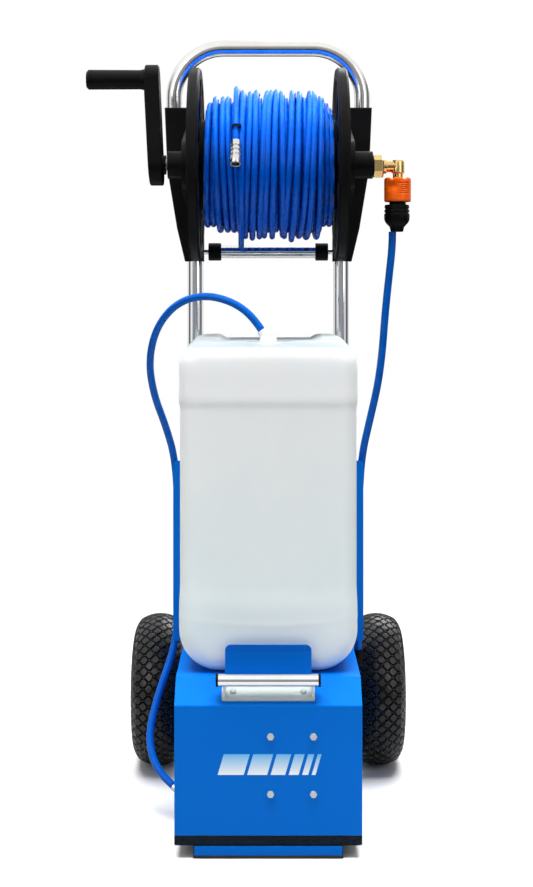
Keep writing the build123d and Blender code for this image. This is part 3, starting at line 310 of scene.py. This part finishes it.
# ---------------------------------------------------------------- building helpers
def piece_from(name, bm, slot, body=None, smooth=True, crease=None):
    """A new object from a bmesh, in the frame's metres, riding on a body.

    crease is the angle in degrees past which a smooth piece still shows an edge.
    """
    bmesh.ops.recalc_face_normals(bm, faces=bm.faces)
    data = bpy.data.meshes.new(name)
    bm.to_mesh(data)
    bm.free()
    made = bpy.data.objects.new(name, data)
    scene.collection.objects.link(made)
    dress(made, slot)
    if smooth:
        data.polygons.foreach_set("use_smooth", [True] * len(data.polygons))
    if crease:
        data.set_sharp_from_angle(angle=math.radians(crease))
    if body:
        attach(made, body)
    return made


def grid_faces(bm, rows, closed=False):
    """Quads between rings of vertices; closed joins the last ring to the first."""
    following = rows[1:] + rows[:1] if closed else rows[1:]
    for first, second in zip(rows, following):
        count = len(first)
        for i in range(count):
            j = (i + 1) % count
            bm.faces.new((first[i], first[j], second[j], second[i]))


def tube_mesh(path, section):
    """A capped tube along path; section is a list of (sideways, outward) offsets."""
    bm = bmesh.new()
    points = [Vector(p) for p in path]
    last = len(points) - 1
    rows = []
    side = None
    for i, point in enumerate(points):
        tangent = (points[min(i + 1, last)] - points[max(i - 1, 0)]).normalized()
        if side is None:
            side = tangent.orthogonal().normalized()
        side = (side - tangent * side.dot(tangent)).normalized()
        up = tangent.cross(side)
        rows.append([bm.verts.new(point + side * a + up * b) for a, b in section])
    grid_faces(bm, rows)
    bm.faces.new(rows[0])
    bm.faces.new(rows[-1])
    return bm


def ring(radius, sides):
    """Points of a circle about the origin."""
    return [
        (radius * math.cos(2 * math.pi * i / sides), radius * math.sin(2 * math.pi * i / sides))
        for i in range(sides)
    ]


def turned(bm, profile, origin, axis, sides):
    """Adds a turned shape: profile is (along, radius) pairs from origin along axis."""
    along = Vector(axis)
    side = Vector((0, 0, 1)) if abs(along.x) > 0.5 else Vector((1, 0, 0))
    up = along.cross(side)
    rows = []
    for distance, radius in profile:
        centre = Vector(origin) + along * distance
        rows.append([bm.verts.new(centre + (side * a + up * b) * radius) for a, b in ring(1.0, sides)])
    grid_faces(bm, rows)
    bm.faces.new(rows[0])
    bm.faces.new(rows[-1])


def route_curve(name, points, radius, slot, resolution=10):
    """A hose on one smooth spline whose control points are the route's points."""
    data = bpy.data.curves.new(name, "CURVE")
    data.dimensions = "3D"
    spline = data.splines.new("NURBS")
    spline.points.add(len(points) - 1)
    for knot, point in zip(spline.points, points):
        knot.co = (*point, 1.0)
    spline.order_u = 3
    spline.use_endpoint_u = True
    spline.resolution_u = resolution
    spline.use_smooth = True
    data.bevel_depth = radius
    data.bevel_resolution = 4
    data.use_fill_caps = True
    made = bpy.data.objects.new(name, data)
    scene.collection.objects.link(made)
    data.materials.append(looks[slot].material)
    return made


def spline_points(points, resolution):
    """The line that the route's spline follows."""
    guide = route_curve("guide", points, 0.0, "blue_hose", resolution)
    guide.data.bevel_depth = 0.0
    bpy.context.view_layer.update()
    mesh = bpy.data.meshes.new_from_object(guide)
    line = [v.co.copy() for v in mesh.vertices]
    bpy.data.objects.remove(guide)
    bpy.data.meshes.remove(mesh)
    return line


def length_of(line):
    return sum((b - a).length for a, b in zip(line, line[1:]))


# ---------------------------------------------------------------- hoses
feed_radius = 0.00525
feed_route = [
    (-0.009, 0.063, 0.686),
    (-0.0216, 0.0658, 0.7056),
    (-0.050, 0.071, 0.726),
    (-0.089, 0.082, 0.735),
    (-0.128, 0.101, 0.724),
    (-0.158, 0.126, 0.690),
    (-0.171, 0.152, 0.642),
    (-0.166, 0.178, 0.592),
    (-0.150, 0.202, 0.544),
    (-0.138, 0.219, 0.498),
    (-0.134, 0.224, 0.436),
    (-0.1334, 0.225, 0.365),
    (-0.1336, 0.2245, 0.298),
    (-0.1345, 0.2225, 0.238),
    (-0.1425, 0.213, 0.203),
    (-0.156, 0.197, 0.166),
    (-0.1665, 0.180, 0.131),
    (-0.171, 0.160, 0.101),
    (-0.1645, 0.139, 0.076),
    (-0.1495, 0.1229, 0.0563),
    (-0.13297, 0.11377, 0.0451),
]
feed_line = spline_points(feed_route, 10)
feed = piece_from("feed_hose_skin", tube_mesh(feed_line, ring(feed_radius, 20)), "blue_hose")
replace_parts(feed, "feed_hose")
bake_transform(feed)

delivery_radius = 0.0055
delivery_route = [
    (0.1805, 0.190, 0.827),
    (0.1805, 0.190, 0.806),
    (0.176, 0.192, 0.765),
    (0.1705, 0.1965, 0.710),
    (0.167, 0.202, 0.655),
    (0.161, 0.209, 0.604),
    (0.1495, 0.219, 0.551),
    (0.1385, 0.228, 0.500),
    (0.1348, 0.234, 0.440),
    (0.1339, 0.239, 0.375),
    (0.134, 0.243, 0.312),
    (0.1342, 0.248, 0.253),
    (0.1342, 0.248, 0.207),
]
delivery = route_curve("delivery_hose_skin", delivery_route, delivery_radius, "blue_hose")
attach(delivery, "trolley")
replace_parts(delivery, "delivery_hose")

# The reel's hose: three even layers, then two loose ones, and the free end over the top.
reel_y, reel_z = 0.190, 0.924
reel_radius = 0.00425
points_per_turn = 14
# a NURBS spline of order 3 runs this much inside its control points' circle
spline_inset = 0.75 + 0.25 * math.cos(2 * math.pi / points_per_turn)
free_x = -0.045
end_height = 0.945
end_radius = 0.1085
end_rise = math.asin((end_height - reel_z) / end_radius)
# turns, first x, last x, radius, wander along x, wander in radius
layers = [
    (21.5, 0.0885, -0.0885, 0.0694, 0.0, 0.0),
    (21.5, -0.0885, 0.0885, 0.0779, 0.0, 0.0),
    (20.5, 0.0905, -0.0900, 0.0864, 0.0012, 0.0008),
    (17.5, -0.0770, 0.0790, 0.0948, 0.0046, 0.0016),
    (11.0, 0.0690, -0.0370, 0.1030, 0.0080, 0.0020),
]
# how far each turn of the top layer hangs below the drum, and stands proud above it
loose_sag = [0.005, 0.0055, 0.001, 0.0125, 0.003, 0.001, 0.0045, 0.0015, 0.0035, 0.007, 0.002]
loose_crown = [0.000, 0.0015, 0.000, 0.003, 0.000, 0.0045, 0.001, 0.000, 0.0045, 0.001, 0.003]
last_sag = 0.013
# size of the noise's steps: round one turn, from turn to turn, and for the turns' tilt
wave_round, wave_turn, wave_tilt = 1.1, 0.37, 0.83
straight_end = 0.02


def wound_turns():
    """Place along the drum, radius and angle at each point of the layers."""
    line = []
    start = 0.0
    for depth, (turns, first, last, radius, wander_x, wander_r) in enumerate(layers):
        count = round(turns * points_per_turn)
        for i in range(count):
            t = start + i / points_per_turn
            along = i / count
            angle = -2 * math.pi * t
            across, up = math.cos(angle), math.sin(angle)
            wave = Vector((wave_round * across, wave_round * up, wave_turn * t + 9 * depth))
            tilt = 1.9 * wander_x * noise.noise(Vector((wave_tilt * t, 3.1, 1.0 * depth)))
            x = first + (last - first) * along + wander_x * 2.2 * noise.noise(wave) + tilt * up
            r = radius + wander_r * 2.0 * noise.noise(wave + Vector((5.3, 1.7, 0)))
            if depth == len(layers) - 1:
                turn = min(int(i / points_per_turn), len(loose_sag) - 1)
                r += loose_sag[turn] * max(0.0, -up) ** 3 + loose_crown[turn] * max(0.0, up) ** 3
            line.append((x, r, angle))
        start += count / points_per_turn
    return line


def eased_steps(line, reach=3):
    """The same points with the steps between layers spread over their neighbours."""
    eased = []
    for i, (_, _, angle) in enumerate(line):
        near = line[max(0, i - reach) : i + reach + 1]
        eased.append((sum(p[0] for p in near) / len(near), sum(p[1] for p in near) / len(near), angle))
    return eased


def coil_points():
    """The hose's route: its layers, then a last turn over the loose ones and down the front."""
    eased = eased_steps(wound_turns())
    last_x, last_r, last_angle = eased[-1]
    final = -2 * math.pi * math.ceil(-last_angle / (2 * math.pi)) + end_rise
    if last_angle - final < 1.2 * math.pi:
        final -= 2 * math.pi
    steps = round((last_angle - final) / (2 * math.pi) * points_per_turn)
    final_r = end_radius / spline_inset - 0.0018
    for i in range(1, steps):
        part = i / steps
        ease = part * part * (3 - 2 * part)
        x = last_x + (free_x - last_x) * min(1.0, ease * 1.3)
        angle = last_angle + (final - last_angle) * part
        r = last_r + (final_r - last_r) * min(1.0, ease * 1.2)
        r += last_sag * max(0.0, -math.sin(angle)) ** 3
        eased.append((x, r, angle))
    points = [
        (x, reel_y - r / spline_inset * math.cos(angle), reel_z + r / spline_inset * math.sin(angle))
        for x, r, angle in eased
    ]
    return points[:-1] + [tuple(hose_end - hose_down * straight_end), tuple(hose_end)]


hose_end = Vector((free_x, reel_y - end_radius * math.cos(end_rise), end_height))
hose_down = Vector((0.0, -math.sin(end_rise), -math.cos(end_rise)))
hose_outward = Vector((0.0, -math.cos(end_rise), math.sin(end_rise)))


def tipped_nipple():
    """The coupling on the hose's free end, tipped outwards so that its bore shows."""
    seat = 0.003
    tip = 0.3
    profile = [
        (0.0, 0.0058), (0.001, 0.0074), (0.009, 0.0074), (0.0095, 0.0058), (0.012, 0.0058),
        (0.0125, 0.0076), (0.016, 0.0076), (0.0165, 0.006), (0.0185, 0.006), (0.019, 0.0073),
        (0.023, 0.0073), (0.0235, 0.0062), (0.025, 0.0062), (0.0265, 0.0078), (0.037, 0.0078),
        (0.038, 0.0072), (0.038, 0.0054), (0.027, 0.005),
    ]
    bm = bmesh.new()
    turned(bm, profile, hose_end - seat * hose_down, (hose_down + tip * hose_outward).normalized(), 48)
    made = piece_from("nipple_tipped", bm, "nickel", "reel", crease=32)
    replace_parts(made, "hose_nipple")
    return made


coil_route = coil_points()
coil = route_curve("reel_hose_windings", coil_route, reel_radius, "reel_hose", 4)
coil.data.bevel_resolution = 3
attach(coil, "reel")
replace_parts(coil, "hose_coil")
coil_length = round(length_of(spline_points(coil_route, 4)), 1)
tipped_nipple()


# ---------------------------------------------------------------- tyres
def arc(first, middle, last, count):
    """Points on the circle through three (x, radius) points, the last left out."""
    a, b, c = (Vector((*p, 0.0)) for p in (first, middle, last))
    ab, ac = b - a, c - a
    normal = ab.cross(ac)
    centre = a + (normal.cross(ab) * ac.length_squared + ac.cross(normal) * ab.length_squared) / (
        2 * normal.length_squared
    )
    radius = (a - centre).length
    angles = [math.atan2(p.y - centre.y, p.x - centre.x) for p in (a, b, c)]
    turn = angles[2] - angles[0]
    while turn > math.pi:
        turn -= 2 * math.pi
    while turn < -math.pi:
        turn += 2 * math.pi
    return [
        (
            centre.x + radius * math.cos(angles[0] + turn * i / count),
            centre.y + radius * math.sin(angles[0] + turn * i / count),
        )
        for i in range(count)
    ]


axle_y, axle_z = 0.378, 0.116
tyre_radius = 0.116
tread_pitch = 0.0178
tread_depth = 0.0024
tread_edge, tread_fade = 0.045, 0.004
groove_half, groove_slope = 0.0009, 0.0006
stud_half, stud_gap, stud_rise = 0.0021, 0.0034, 0.75
side_line, side_line_rise, side_line_width = 0.060, 0.00018, 0.0012
steps_per_block = 16
# the section's points, (across, radius) in millimetres
bead, wall, shoulder, crown = (30, 56), (39, 84), (29, 107.5), (0, 116)
hollow = [(22, 52), (24, 64), (31, 84), (23, 100.5)]
hollow_crown = (0, 107)


def mirrored(point):
    return (-point[0], point[1])


def tread_height(around, across):
    """0 in the grooves, 1 on the blocks; crossed grooves with a stud where they meet."""
    to_groove = [
        abs((way / tread_pitch + 0.5) % 1.0 - 0.5) * tread_pitch for way in (around + across, around - across)
    ]
    if max(to_groove) < stud_half:
        return stud_rise
    if max(to_groove) < stud_gap:
        return 0.0
    return min(1.0, max(0.0, (min(to_groove) - groove_half) / groove_slope))


def tyre(name, centre_x, node, body):
    outer = (
        arc(mirrored(bead), mirrored(wall), mirrored(shoulder), 16)
        + arc(mirrored(shoulder), crown, shoulder, 56)
        + arc(shoulder, wall, bead, 16)
        + [bead]
    )
    run = [0.0]
    for (x0, r0), (x1, r1) in zip(outer, outer[1:]):
        run.append(run[-1] + math.hypot(x1 - x0, r1 - r0))
    blocks = round(2 * math.pi * tyre_radius / tread_pitch)
    count = blocks * steps_per_block
    pitch_scale = blocks * tread_pitch / (2 * math.pi)
    bm = bmesh.new()

    def vertex(x, radius, i):
        angle = 2 * math.pi * i / count
        return bm.verts.new(
            (centre_x + x, axle_y + radius * math.cos(angle), axle_z + radius * math.sin(angle))
        )

    rows = []
    for (x, r), reached in zip(outer, run):
        across = (reached - run[-1] / 2) / 1000
        faded = min(1.0, max(0.0, (tread_edge - abs(across)) / tread_fade))
        line = side_line_rise * math.exp(-(((abs(across) - side_line) / side_line_width) ** 2))
        slant = math.hypot(x / wall[0] * 0.6, 1.0)
        row = []
        for i in range(count):
            height = tread_height(2 * math.pi * i / count * pitch_scale, across)
            cut = (1.0 - height) * tread_depth * faded
            inward = math.copysign(cut * 0.35, x) * abs(x) / wall[0]
            row.append(vertex(x / 1000 - inward, r / 1000 - cut / slant + line, i))
        rows.append(row)
    for x, r in hollow + [hollow_crown] + [mirrored(point) for point in reversed(hollow)]:
        rows.append([vertex(x / 1000, r / 1000, i) for i in range(count)])
    grid_faces(bm, rows, closed=True)
    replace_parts(piece_from(name, bm, "tyre", body, crease=28), node)


tyre("left_tyre_tread", -0.171, "left_tyre", "left_wheel")
tyre("right_tyre_tread", 0.171, "right_tyre", "right_wheel")


# ---------------------------------------------------------------- water can
def outer_skin(node):
    """The node's outer faces: those from which some straight way leads out."""
    bm = bmesh.new()
    bm.from_mesh(nodes[node].data)
    bmesh.ops.remove_doubles(bm, verts=bm.verts, dist=1e-5)
    tree = BVHTree.FromBMesh(bm)
    ways = [
        Vector((x, y, z)).normalized()
        for x in (-1, 0, 1)
        for y in (-1, 0, 1)
        for z in (-1, 0, 1)
        if (x, y, z) != (0, 0, 0)
    ]
    hidden = []
    for face in bm.faces:
        origin = face.calc_center_median() + face.normal * 1e-4
        if all(tree.ray_cast(origin, way)[0] is not None for way in ways):
            hidden.append(face)
    bmesh.ops.delete(bm, geom=hidden, context="FACES")
    bmesh.ops.holes_fill(bm, edges=bm.edges)
    bmesh.ops.triangulate(bm, faces=bm.faces)
    return bm


def smooth_step(value, low, high):
    t = min(1.0, max(0.0, (value - low) / (high - low)))
    return t * t * (3 - 2 * t)


def ridge(value, centre, width):
    return math.exp(-(((value - centre) / width) ** 2))


groove_z, groove_depth, groove_width = 0.5845, 0.0013, 0.0022
waist_low, waist_full, waist_depth = 0.315, 0.345, 0.0012
collar_up, collar_rise, collar_width = 0.012, 0.0004, 0.009
foot_line, foot_line_bow, foot_line_rise, foot_line_width = 0.2925, 0.0105, 0.0007, 0.0016
seam_low, seam_high, seam_rise, seam_width = 0.44, 0.58, 0.0010, 0.0018
mark_z, mark_x, mark_rise, mark_wide = 0.442, -0.07, 0.0004, 0.012
can_wide, belly = 0.24, 0.0014
hump_low, hump_rise = 0.650, 0.0058


def wall_push(x, y, z, normal):
    """How far the can's wall stands out: waist, groove, foot line, mould seam and belly."""
    near_corner_or_face = abs(x) > 0.06 or y < 0.02 or y > 0.28
    walls = min(1.0, normal.x**2 + normal.y**2) * near_corner_or_face
    waist = smooth_step(z, waist_low, waist_full) * (1 - smooth_step(z, groove_z - 0.004, groove_z + 0.001))
    bowed = foot_line + foot_line_bow * (abs(x) / (can_wide / 2)) ** 2
    push = -waist_depth * waist - groove_depth * ridge(z, groove_z, groove_width)
    push += collar_rise * ridge(z, groove_z + collar_up, collar_width)
    push += foot_line_rise * ridge(z, bowed, foot_line_width)
    push *= walls
    if normal.y < -0.7:
        seam = smooth_step(z, seam_low, seam_low + 0.006) * (1 - smooth_step(z, seam_high - 0.008, seam_high))
        push += seam_rise * ridge(x, 0.0, seam_width) * seam
        marks = ridge(x, 0.0, mark_wide) + ridge(x, mark_x, mark_wide)
        push += mark_rise * ridge(z, mark_z, 0.0015) * marks
        push += belly * math.cos(math.pi * x / can_wide) * smooth_step(z, 0.24, 0.3)
    return push


def hump_lift(x, y, z, normal):
    """How far the two ridges beside the can's handle rise from its top."""
    if z <= hump_low or normal.z <= 0.2 or abs(x) <= 0.05:
        return 0.0
    hump = smooth_step(abs(x), 0.058, 0.074) * (1 - smooth_step(abs(x), 0.098, 0.114))
    hump *= smooth_step(y, 0.05, 0.085) * (1 - smooth_step(y, 0.245, 0.28))
    uneven = hump_rise + 0.0012 * noise.noise(Vector((x * 40, y * 22, 3.0)))
    return uneven * hump * min(1.0, normal.z * 1.3)


def settle(piece):
    """Makes the piece's modifiers part of its mesh."""
    bpy.context.view_layer.update()
    mesh = bpy.data.meshes.new_from_object(piece.evaluated_get(bpy.context.evaluated_depsgraph_get()))
    piece.modifiers.clear()
    piece.data = mesh
    return mesh


def water_can():
    """The can's skin on an even mesh, with its moulded lines pushed in and out, then softened."""
    skin = piece_from("water_can", outer_skin("jerrycan"), "can_plastic")
    remesh = skin.modifiers.new("even", "REMESH")
    remesh.mode = "VOXEL"
    remesh.voxel_size = 0.0026
    remesh.use_smooth_shade = True
    even = settle(skin)
    normals = [vertex.normal.copy() for vertex in even.vertices]
    moved = []
    for vertex, normal in zip(even.vertices, normals):
        x, y, z = vertex.co
        place = vertex.co + normal * wall_push(x, y, z, normal)
        place.z += hump_lift(x, y, z, normal)
        moved.extend(place)
    even.vertices.foreach_set("co", moved)
    even.update()
    smoothing = skin.modifiers.new("soft", "CORRECTIVE_SMOOTH")
    smoothing.iterations = 4
    smoothing.use_only_smooth = True
    soft = settle(skin)
    dress(skin, "can_plastic")
    soft.polygons.foreach_set("use_smooth", [True] * len(soft.polygons))
    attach(skin, "jerrycan")
    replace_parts(skin, "jerrycan")


water_can()


# ---------------------------------------------------------------- printed bars on the box's front
def printed_bars():
    """A row of slanted bars, each thinner than the one before, laid on the front panel."""
    bolts_low, bolts_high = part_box("pump_bolts")
    centre = (bolts_low[2] + bolts_high[2]) / 2 + 0.001
    half = 0.0135
    slant = 0.008
    gap = 0.0045
    under, over = 0.00003, 0.00023
    cover = bmesh.new()
    cover.from_mesh(nodes["base_cover"].data)
    panel = BVHTree.FromBMesh(cover)
    cover.free()
    bm = bmesh.new()
    left = -0.066
    for width in (0.034, 0.026, 0.019, 0.013, 0.008, 0.005):
        corners = []
        for dx, dz in ((0, -half), (width, -half), (width + slant, half), (slant, half)):
            x, z = left + dx, centre + dz
            hit = panel.ray_cast(Vector((x, -0.5, z)), Vector((0, 1, 0)))[0]
            corners.append((x, hit.y, z))
        back = [bm.verts.new((x, y - under, z)) for x, y, z in corners]
        front = [bm.verts.new((x, y - over, z)) for x, y, z in corners]
        bm.faces.new(front)
        bm.faces.new(back[::-1])
        for i in range(4):
            j = (i + 1) % 4
            bm.faces.new((back[i], back[j], front[j], front[i]))
        left += width + gap
    ink = Look("front_print", roughness=0.4, Specular_IOR_Level=0.2)
    fade = ink.spread(ink.axis("Z"), centre - half, centre + half)
    ink.color(ink.mix(fade, (0.95, 0.98, 1.0), (0.14, 0.52, 0.9)))
    ink.relief(ink.noise(400.0, 2.0), 0.00001)
    looks["front_print"] = ink
    made = piece_from("front_bars", bm, "white_plastic", "trolley", smooth=False)
    dress(made, "front_print")


printed_bars()


# ---------------------------------------------------------------- connector collar
def ribbed_collar():
    """The connector's sliding collar: grip ribs, a thumb hollow and a notched upper rim."""
    low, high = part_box("connector_collar")
    centre_x, centre_y = (low[0] + high[0]) / 2, (low[1] + high[1]) / 2
    radius = (high[0] - low[0]) / 2
    corners = [vertex.co for vertex in nodes["connector_collar"].data.vertices]
    bore = min(math.hypot(co.x - centre_x, co.y - centre_y) for co in corners)
    tall = high[2] - low[2]
    sides, steps = 144, 48
    edge_round, rib_deep, hollow_deep, notch_deep, rim_thick = 0.0009, 0.0007, 0.0017, 0.0022, 0.0026
    ribs_at, hollow_at = -1.05, -2.05
    ribs_low, ribs_high, ribs_per_height = 0.3, 0.8, 12
    notches, notch_low = 6, 0.8

    def beside(angle, middle, width):
        """1 at the angle called middle and opposite it, fading to 0 between."""
        turned_by = math.cos(angle - middle)
        return ridge(turned_by, 1.0, width) + ridge(turned_by, -1.0, width)

    bm = bmesh.new()
    rows = []
    for step in range(steps + 1):
        part = step / steps
        row = []
        for i in range(sides):
            angle = 2 * math.pi * i / sides
            r = radius - edge_round * (ridge(part, 0.0, 0.03) + ridge(part, 1.0, 0.03))
            if ribs_low < part < ribs_high:
                rib = 0.5 - 0.5 * math.cos(2 * math.pi * (part - ribs_low) * ribs_per_height)
                r -= rib_deep * beside(angle, ribs_at, 0.16) * rib
            r -= hollow_deep * beside(angle, hollow_at, 0.1) * ridge(part, 0.62, 0.17)
            z = low[2] + tall * part
            if part > notch_low:
                notch = smooth_step(math.cos(notches * angle), 0.2, 0.7)
                z -= notch_deep * notch * (part - notch_low) / (1 - notch_low)
            row.append(bm.verts.new((centre_x + r * math.cos(angle), centre_y + r * math.sin(angle), z)))
        rows.append(row)
    for z in (high[2] - rim_thick, low[2]):
        rows.append([bm.verts.new((centre_x + a, centre_y + b, z)) for a, b in ring(bore, sides)])
    grid_faces(bm, rows, closed=True)
    made = piece_from("collar_ribs", bm, "orange_plastic", "connector_collar", crease=40)
    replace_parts(made, "connector_collar")


ribbed_collar()


# ---------------------------------------------------------------- brass swivel
def brass_swivel():
    """Hexagon nut against the reel's boss, its neck and the upright barrel of the elbow."""
    low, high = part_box("swivel_elbow")
    neck_at = 0.0155
    arm_z = reel_z - 0.002
    barrel_radius = 0.0094
    barrel_top = high[2] - 0.0085
    nut = [
        (0.0, 0.0135), (0.0, 0.0150), (0.0016, 0.0165), (0.0135, 0.0165), (neck_at, 0.0145), (0.0158, 0.009),
    ]
    neck = [(0.0, 0.0105), (0.0045, 0.0105), (0.0055, 0.0085), (0.018, 0.0085)]
    barrel = [
        (0.0, 0.0082), (0.003, barrel_radius), (0.018, barrel_radius), (0.0195, 0.0074),
        (barrel_top - low[2], 0.0074),
    ]
    bm = bmesh.new()
    turned(bm, nut, (low[0] + 0.0005, reel_y, arm_z), (1, 0, 0), 6)
    turned(bm, neck, (low[0] + neck_at, reel_y, arm_z), (1, 0, 0), 40)
    turned(bm, barrel, (high[0] - 0.0095, reel_y, barrel_top), (0, 0, -1), 40)
    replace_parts(piece_from("swivel_brass", bm, "brass", "trolley", crease=32), "swivel_elbow")


brass_swivel()


# ---------------------------------------------------------------- clamp nut
def clamp_nut():
    """The nut that holds the hose in the connector: two grooves, then a taper down to the hose."""
    low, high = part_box("connector_nut")
    radius = (high[0] - low[0]) / 2
    tall = high[2] - low[2]
    bm = bmesh.new()
    # parts of the nut's height and of its radius
    profile = [
        (0.0, 0.9), (0.02, 0.96), (0.12, 0.97), (0.14, 0.91), (0.17, 0.91), (0.19, 0.98), (0.27, 0.98),
        (0.29, 0.92), (0.32, 0.92), (0.34, 1.0), (0.52, 1.0), (0.6, 0.96), (0.68, 0.86), (0.76, 0.7),
        (0.82, 0.58), (0.9, 0.53), (0.97, 0.51), (1.0, 0.46),
    ]
    place = ((low[0] + high[0]) / 2, (low[1] + high[1]) / 2, high[2])
    turned(bm, [(part * tall, wide * radius) for part, wide in profile], place, (0, 0, -1), 64)
    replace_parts(piece_from("clamp_nut", bm, "black_plastic", "trolley", crease=35), "connector_nut")


clamp_nut()


# ---------------------------------------------------------------- floor, lights, world
def softbox(name, place, aim, size, energy, color=(1.0, 1.0, 1.0), glossy=True):
    """A rectangular studio lamp; glossy says whether shiny surfaces mirror it."""
    data = bpy.data.lights.new(name, "AREA")
    data.shape = "RECTANGLE"
    data.size, data.size_y = size
    data.energy = energy
    data.color = color
    made = bpy.data.objects.new(name, data)
    made.location = place
    made.rotation_euler = (Vector(aim) - Vector(place)).to_track_quat("-Z", "Y").to_euler()
    made.visible_glossy = glossy
    scene.collection.objects.link(made)


softbox("overhead", (0.0, 0.1, 3.2), (0.0, 0.1, 0.4), (2.6, 2.2), 260.0, glossy=False)
softbox("front_left", (-1.7, -2.3, 1.9), (0.0, 0.1, 0.5), (1.3, 2.0), 17.0, (1.0, 0.99, 0.97))
softbox("front_right", (1.9, -2.1, 1.6), (0.0, 0.1, 0.6), (1.0, 1.8), 10.0, (0.95, 0.98, 1.0))
softbox("back", (0.8, 2.6, 2.2), (0.0, 0.2, 0.7), (1.6, 1.4), 26.0)


def pale_floor():
    """A pale floor that fades into the white behind it."""
    bm = bmesh.new()
    bmesh.ops.create_grid(bm, x_segments=2, y_segments=2, size=7.0)
    data = bpy.data.meshes.new("floor")
    bm.to_mesh(data)
    bm.free()
    floor = bpy.data.objects.new("floor", data)
    scene.collection.objects.link(floor)
    look = Look("floor", roughness=0.7, Emission_Color=(1.0, 1.0, 1.0, 1.0), Specular_IOR_Level=0.1)
    distance = look.node("ShaderNodeVectorMath", operation="LENGTH")
    look.link(look.place, distance.inputs[0])
    away = look.spread(distance.outputs["Value"], 0.7, 1.7)
    seen = look.node("ShaderNodeLightPath").outputs["Is Camera Ray"]
    near = look.mix(seen, (0.4, 0.4, 0.4), (0.9, 0.9, 0.9))
    look.color(look.mix(away, near, (0.0, 0.0, 0.0)))
    look.link(look.product(away, seen), look.shader.inputs["Emission Strength"])
    data.materials.append(look.material)


def studio_world():
    """White where it is seen, soft light and dark bands round about where it lights or is mirrored."""
    world = bpy.data.worlds.new("studio")
    scene.world = world
    world.use_nodes = True
    sky = world.node_tree
    background = sky.nodes["Background"]

    def node(kind, inputs=(), links=(), **values):
        made = sky.nodes.new(kind)
        for key, value in values.items():
            setattr(made, key, value)
        for socket, value in inputs:
            made.inputs[socket].default_value = value
        for socket, source in links:
            sky.links.new(source, made.inputs[socket])
        return made

    direction = node("ShaderNodeTexCoord").outputs["Generated"]
    split = node("ShaderNodeSeparateXYZ", links=[("Vector", direction)])
    turn = node(
        "ShaderNodeMath", links=[(0, split.outputs["X"]), (1, split.outputs["Y"])], operation="ARCTAN2"
    )
    about = node(
        "ShaderNodeMapRange", [("From Min", -math.pi), ("From Max", math.pi)],
        [("Value", turn.outputs["Value"])],
    )
    bands = node("ShaderNodeValToRGB", links=[("Fac", about.outputs["Result"])])
    for end, position in zip(bands.color_ramp.elements, (0.0, 1.0)):
        end.position = position
        end.color = (0.18, 0.18, 0.19, 1)
    for position, level in (
        (0.10, 0.30), (0.13, 0.95), (0.19, 1.0), (0.22, 0.10), (0.29, 0.14), (0.34, 1.0), (0.40, 1.1),
        (0.45, 0.2), (0.55, 0.2), (0.60, 1.1), (0.66, 1.0), (0.70, 0.14), (0.79, 0.10), (0.82, 0.8),
        (0.87, 0.75), (0.90, 0.28),
    ):
        stop = bands.color_ramp.elements.new(position)
        stop.color = (0.55 * level, 0.55 * level, 0.56 * level, 1)
    sight = node("ShaderNodeLightPath")
    seen = node(
        "ShaderNodeMix", [(7, (1.0, 1.0, 1.0, 1.0))],
        [("Factor", sight.outputs["Is Camera Ray"]), (6, bands.outputs["Color"])], data_type="RGBA",
    )
    raised = node(
        "ShaderNodeMapRange", [("From Min", 0.3), ("From Max", 0.6)], [("Value", split.outputs["Z"])]
    )
    ceiling = node(
        "ShaderNodeMath", links=[(0, raised.outputs["Result"]), (1, sight.outputs["Is Glossy Ray"])],
        operation="MULTIPLY",
    )
    above = node(
        "ShaderNodeMix", [(7, (0.62, 0.62, 0.62, 1.0))],
        [("Factor", ceiling.outputs["Value"]), (6, seen.outputs[2])], data_type="RGBA",
    )
    gloss = node(
        "ShaderNodeMapRange", [("To Min", 1.0), ("To Max", 1.75)],
        [("Value", sight.outputs["Is Glossy Ray"])],
    )
    sky.links.new(above.outputs[2], background.inputs["Color"])
    sky.links.new(gloss.outputs["Result"], background.inputs["Strength"])


pale_floor()
studio_world()


# ---------------------------------------------------------------- close
bpy.context.view_layer.update()
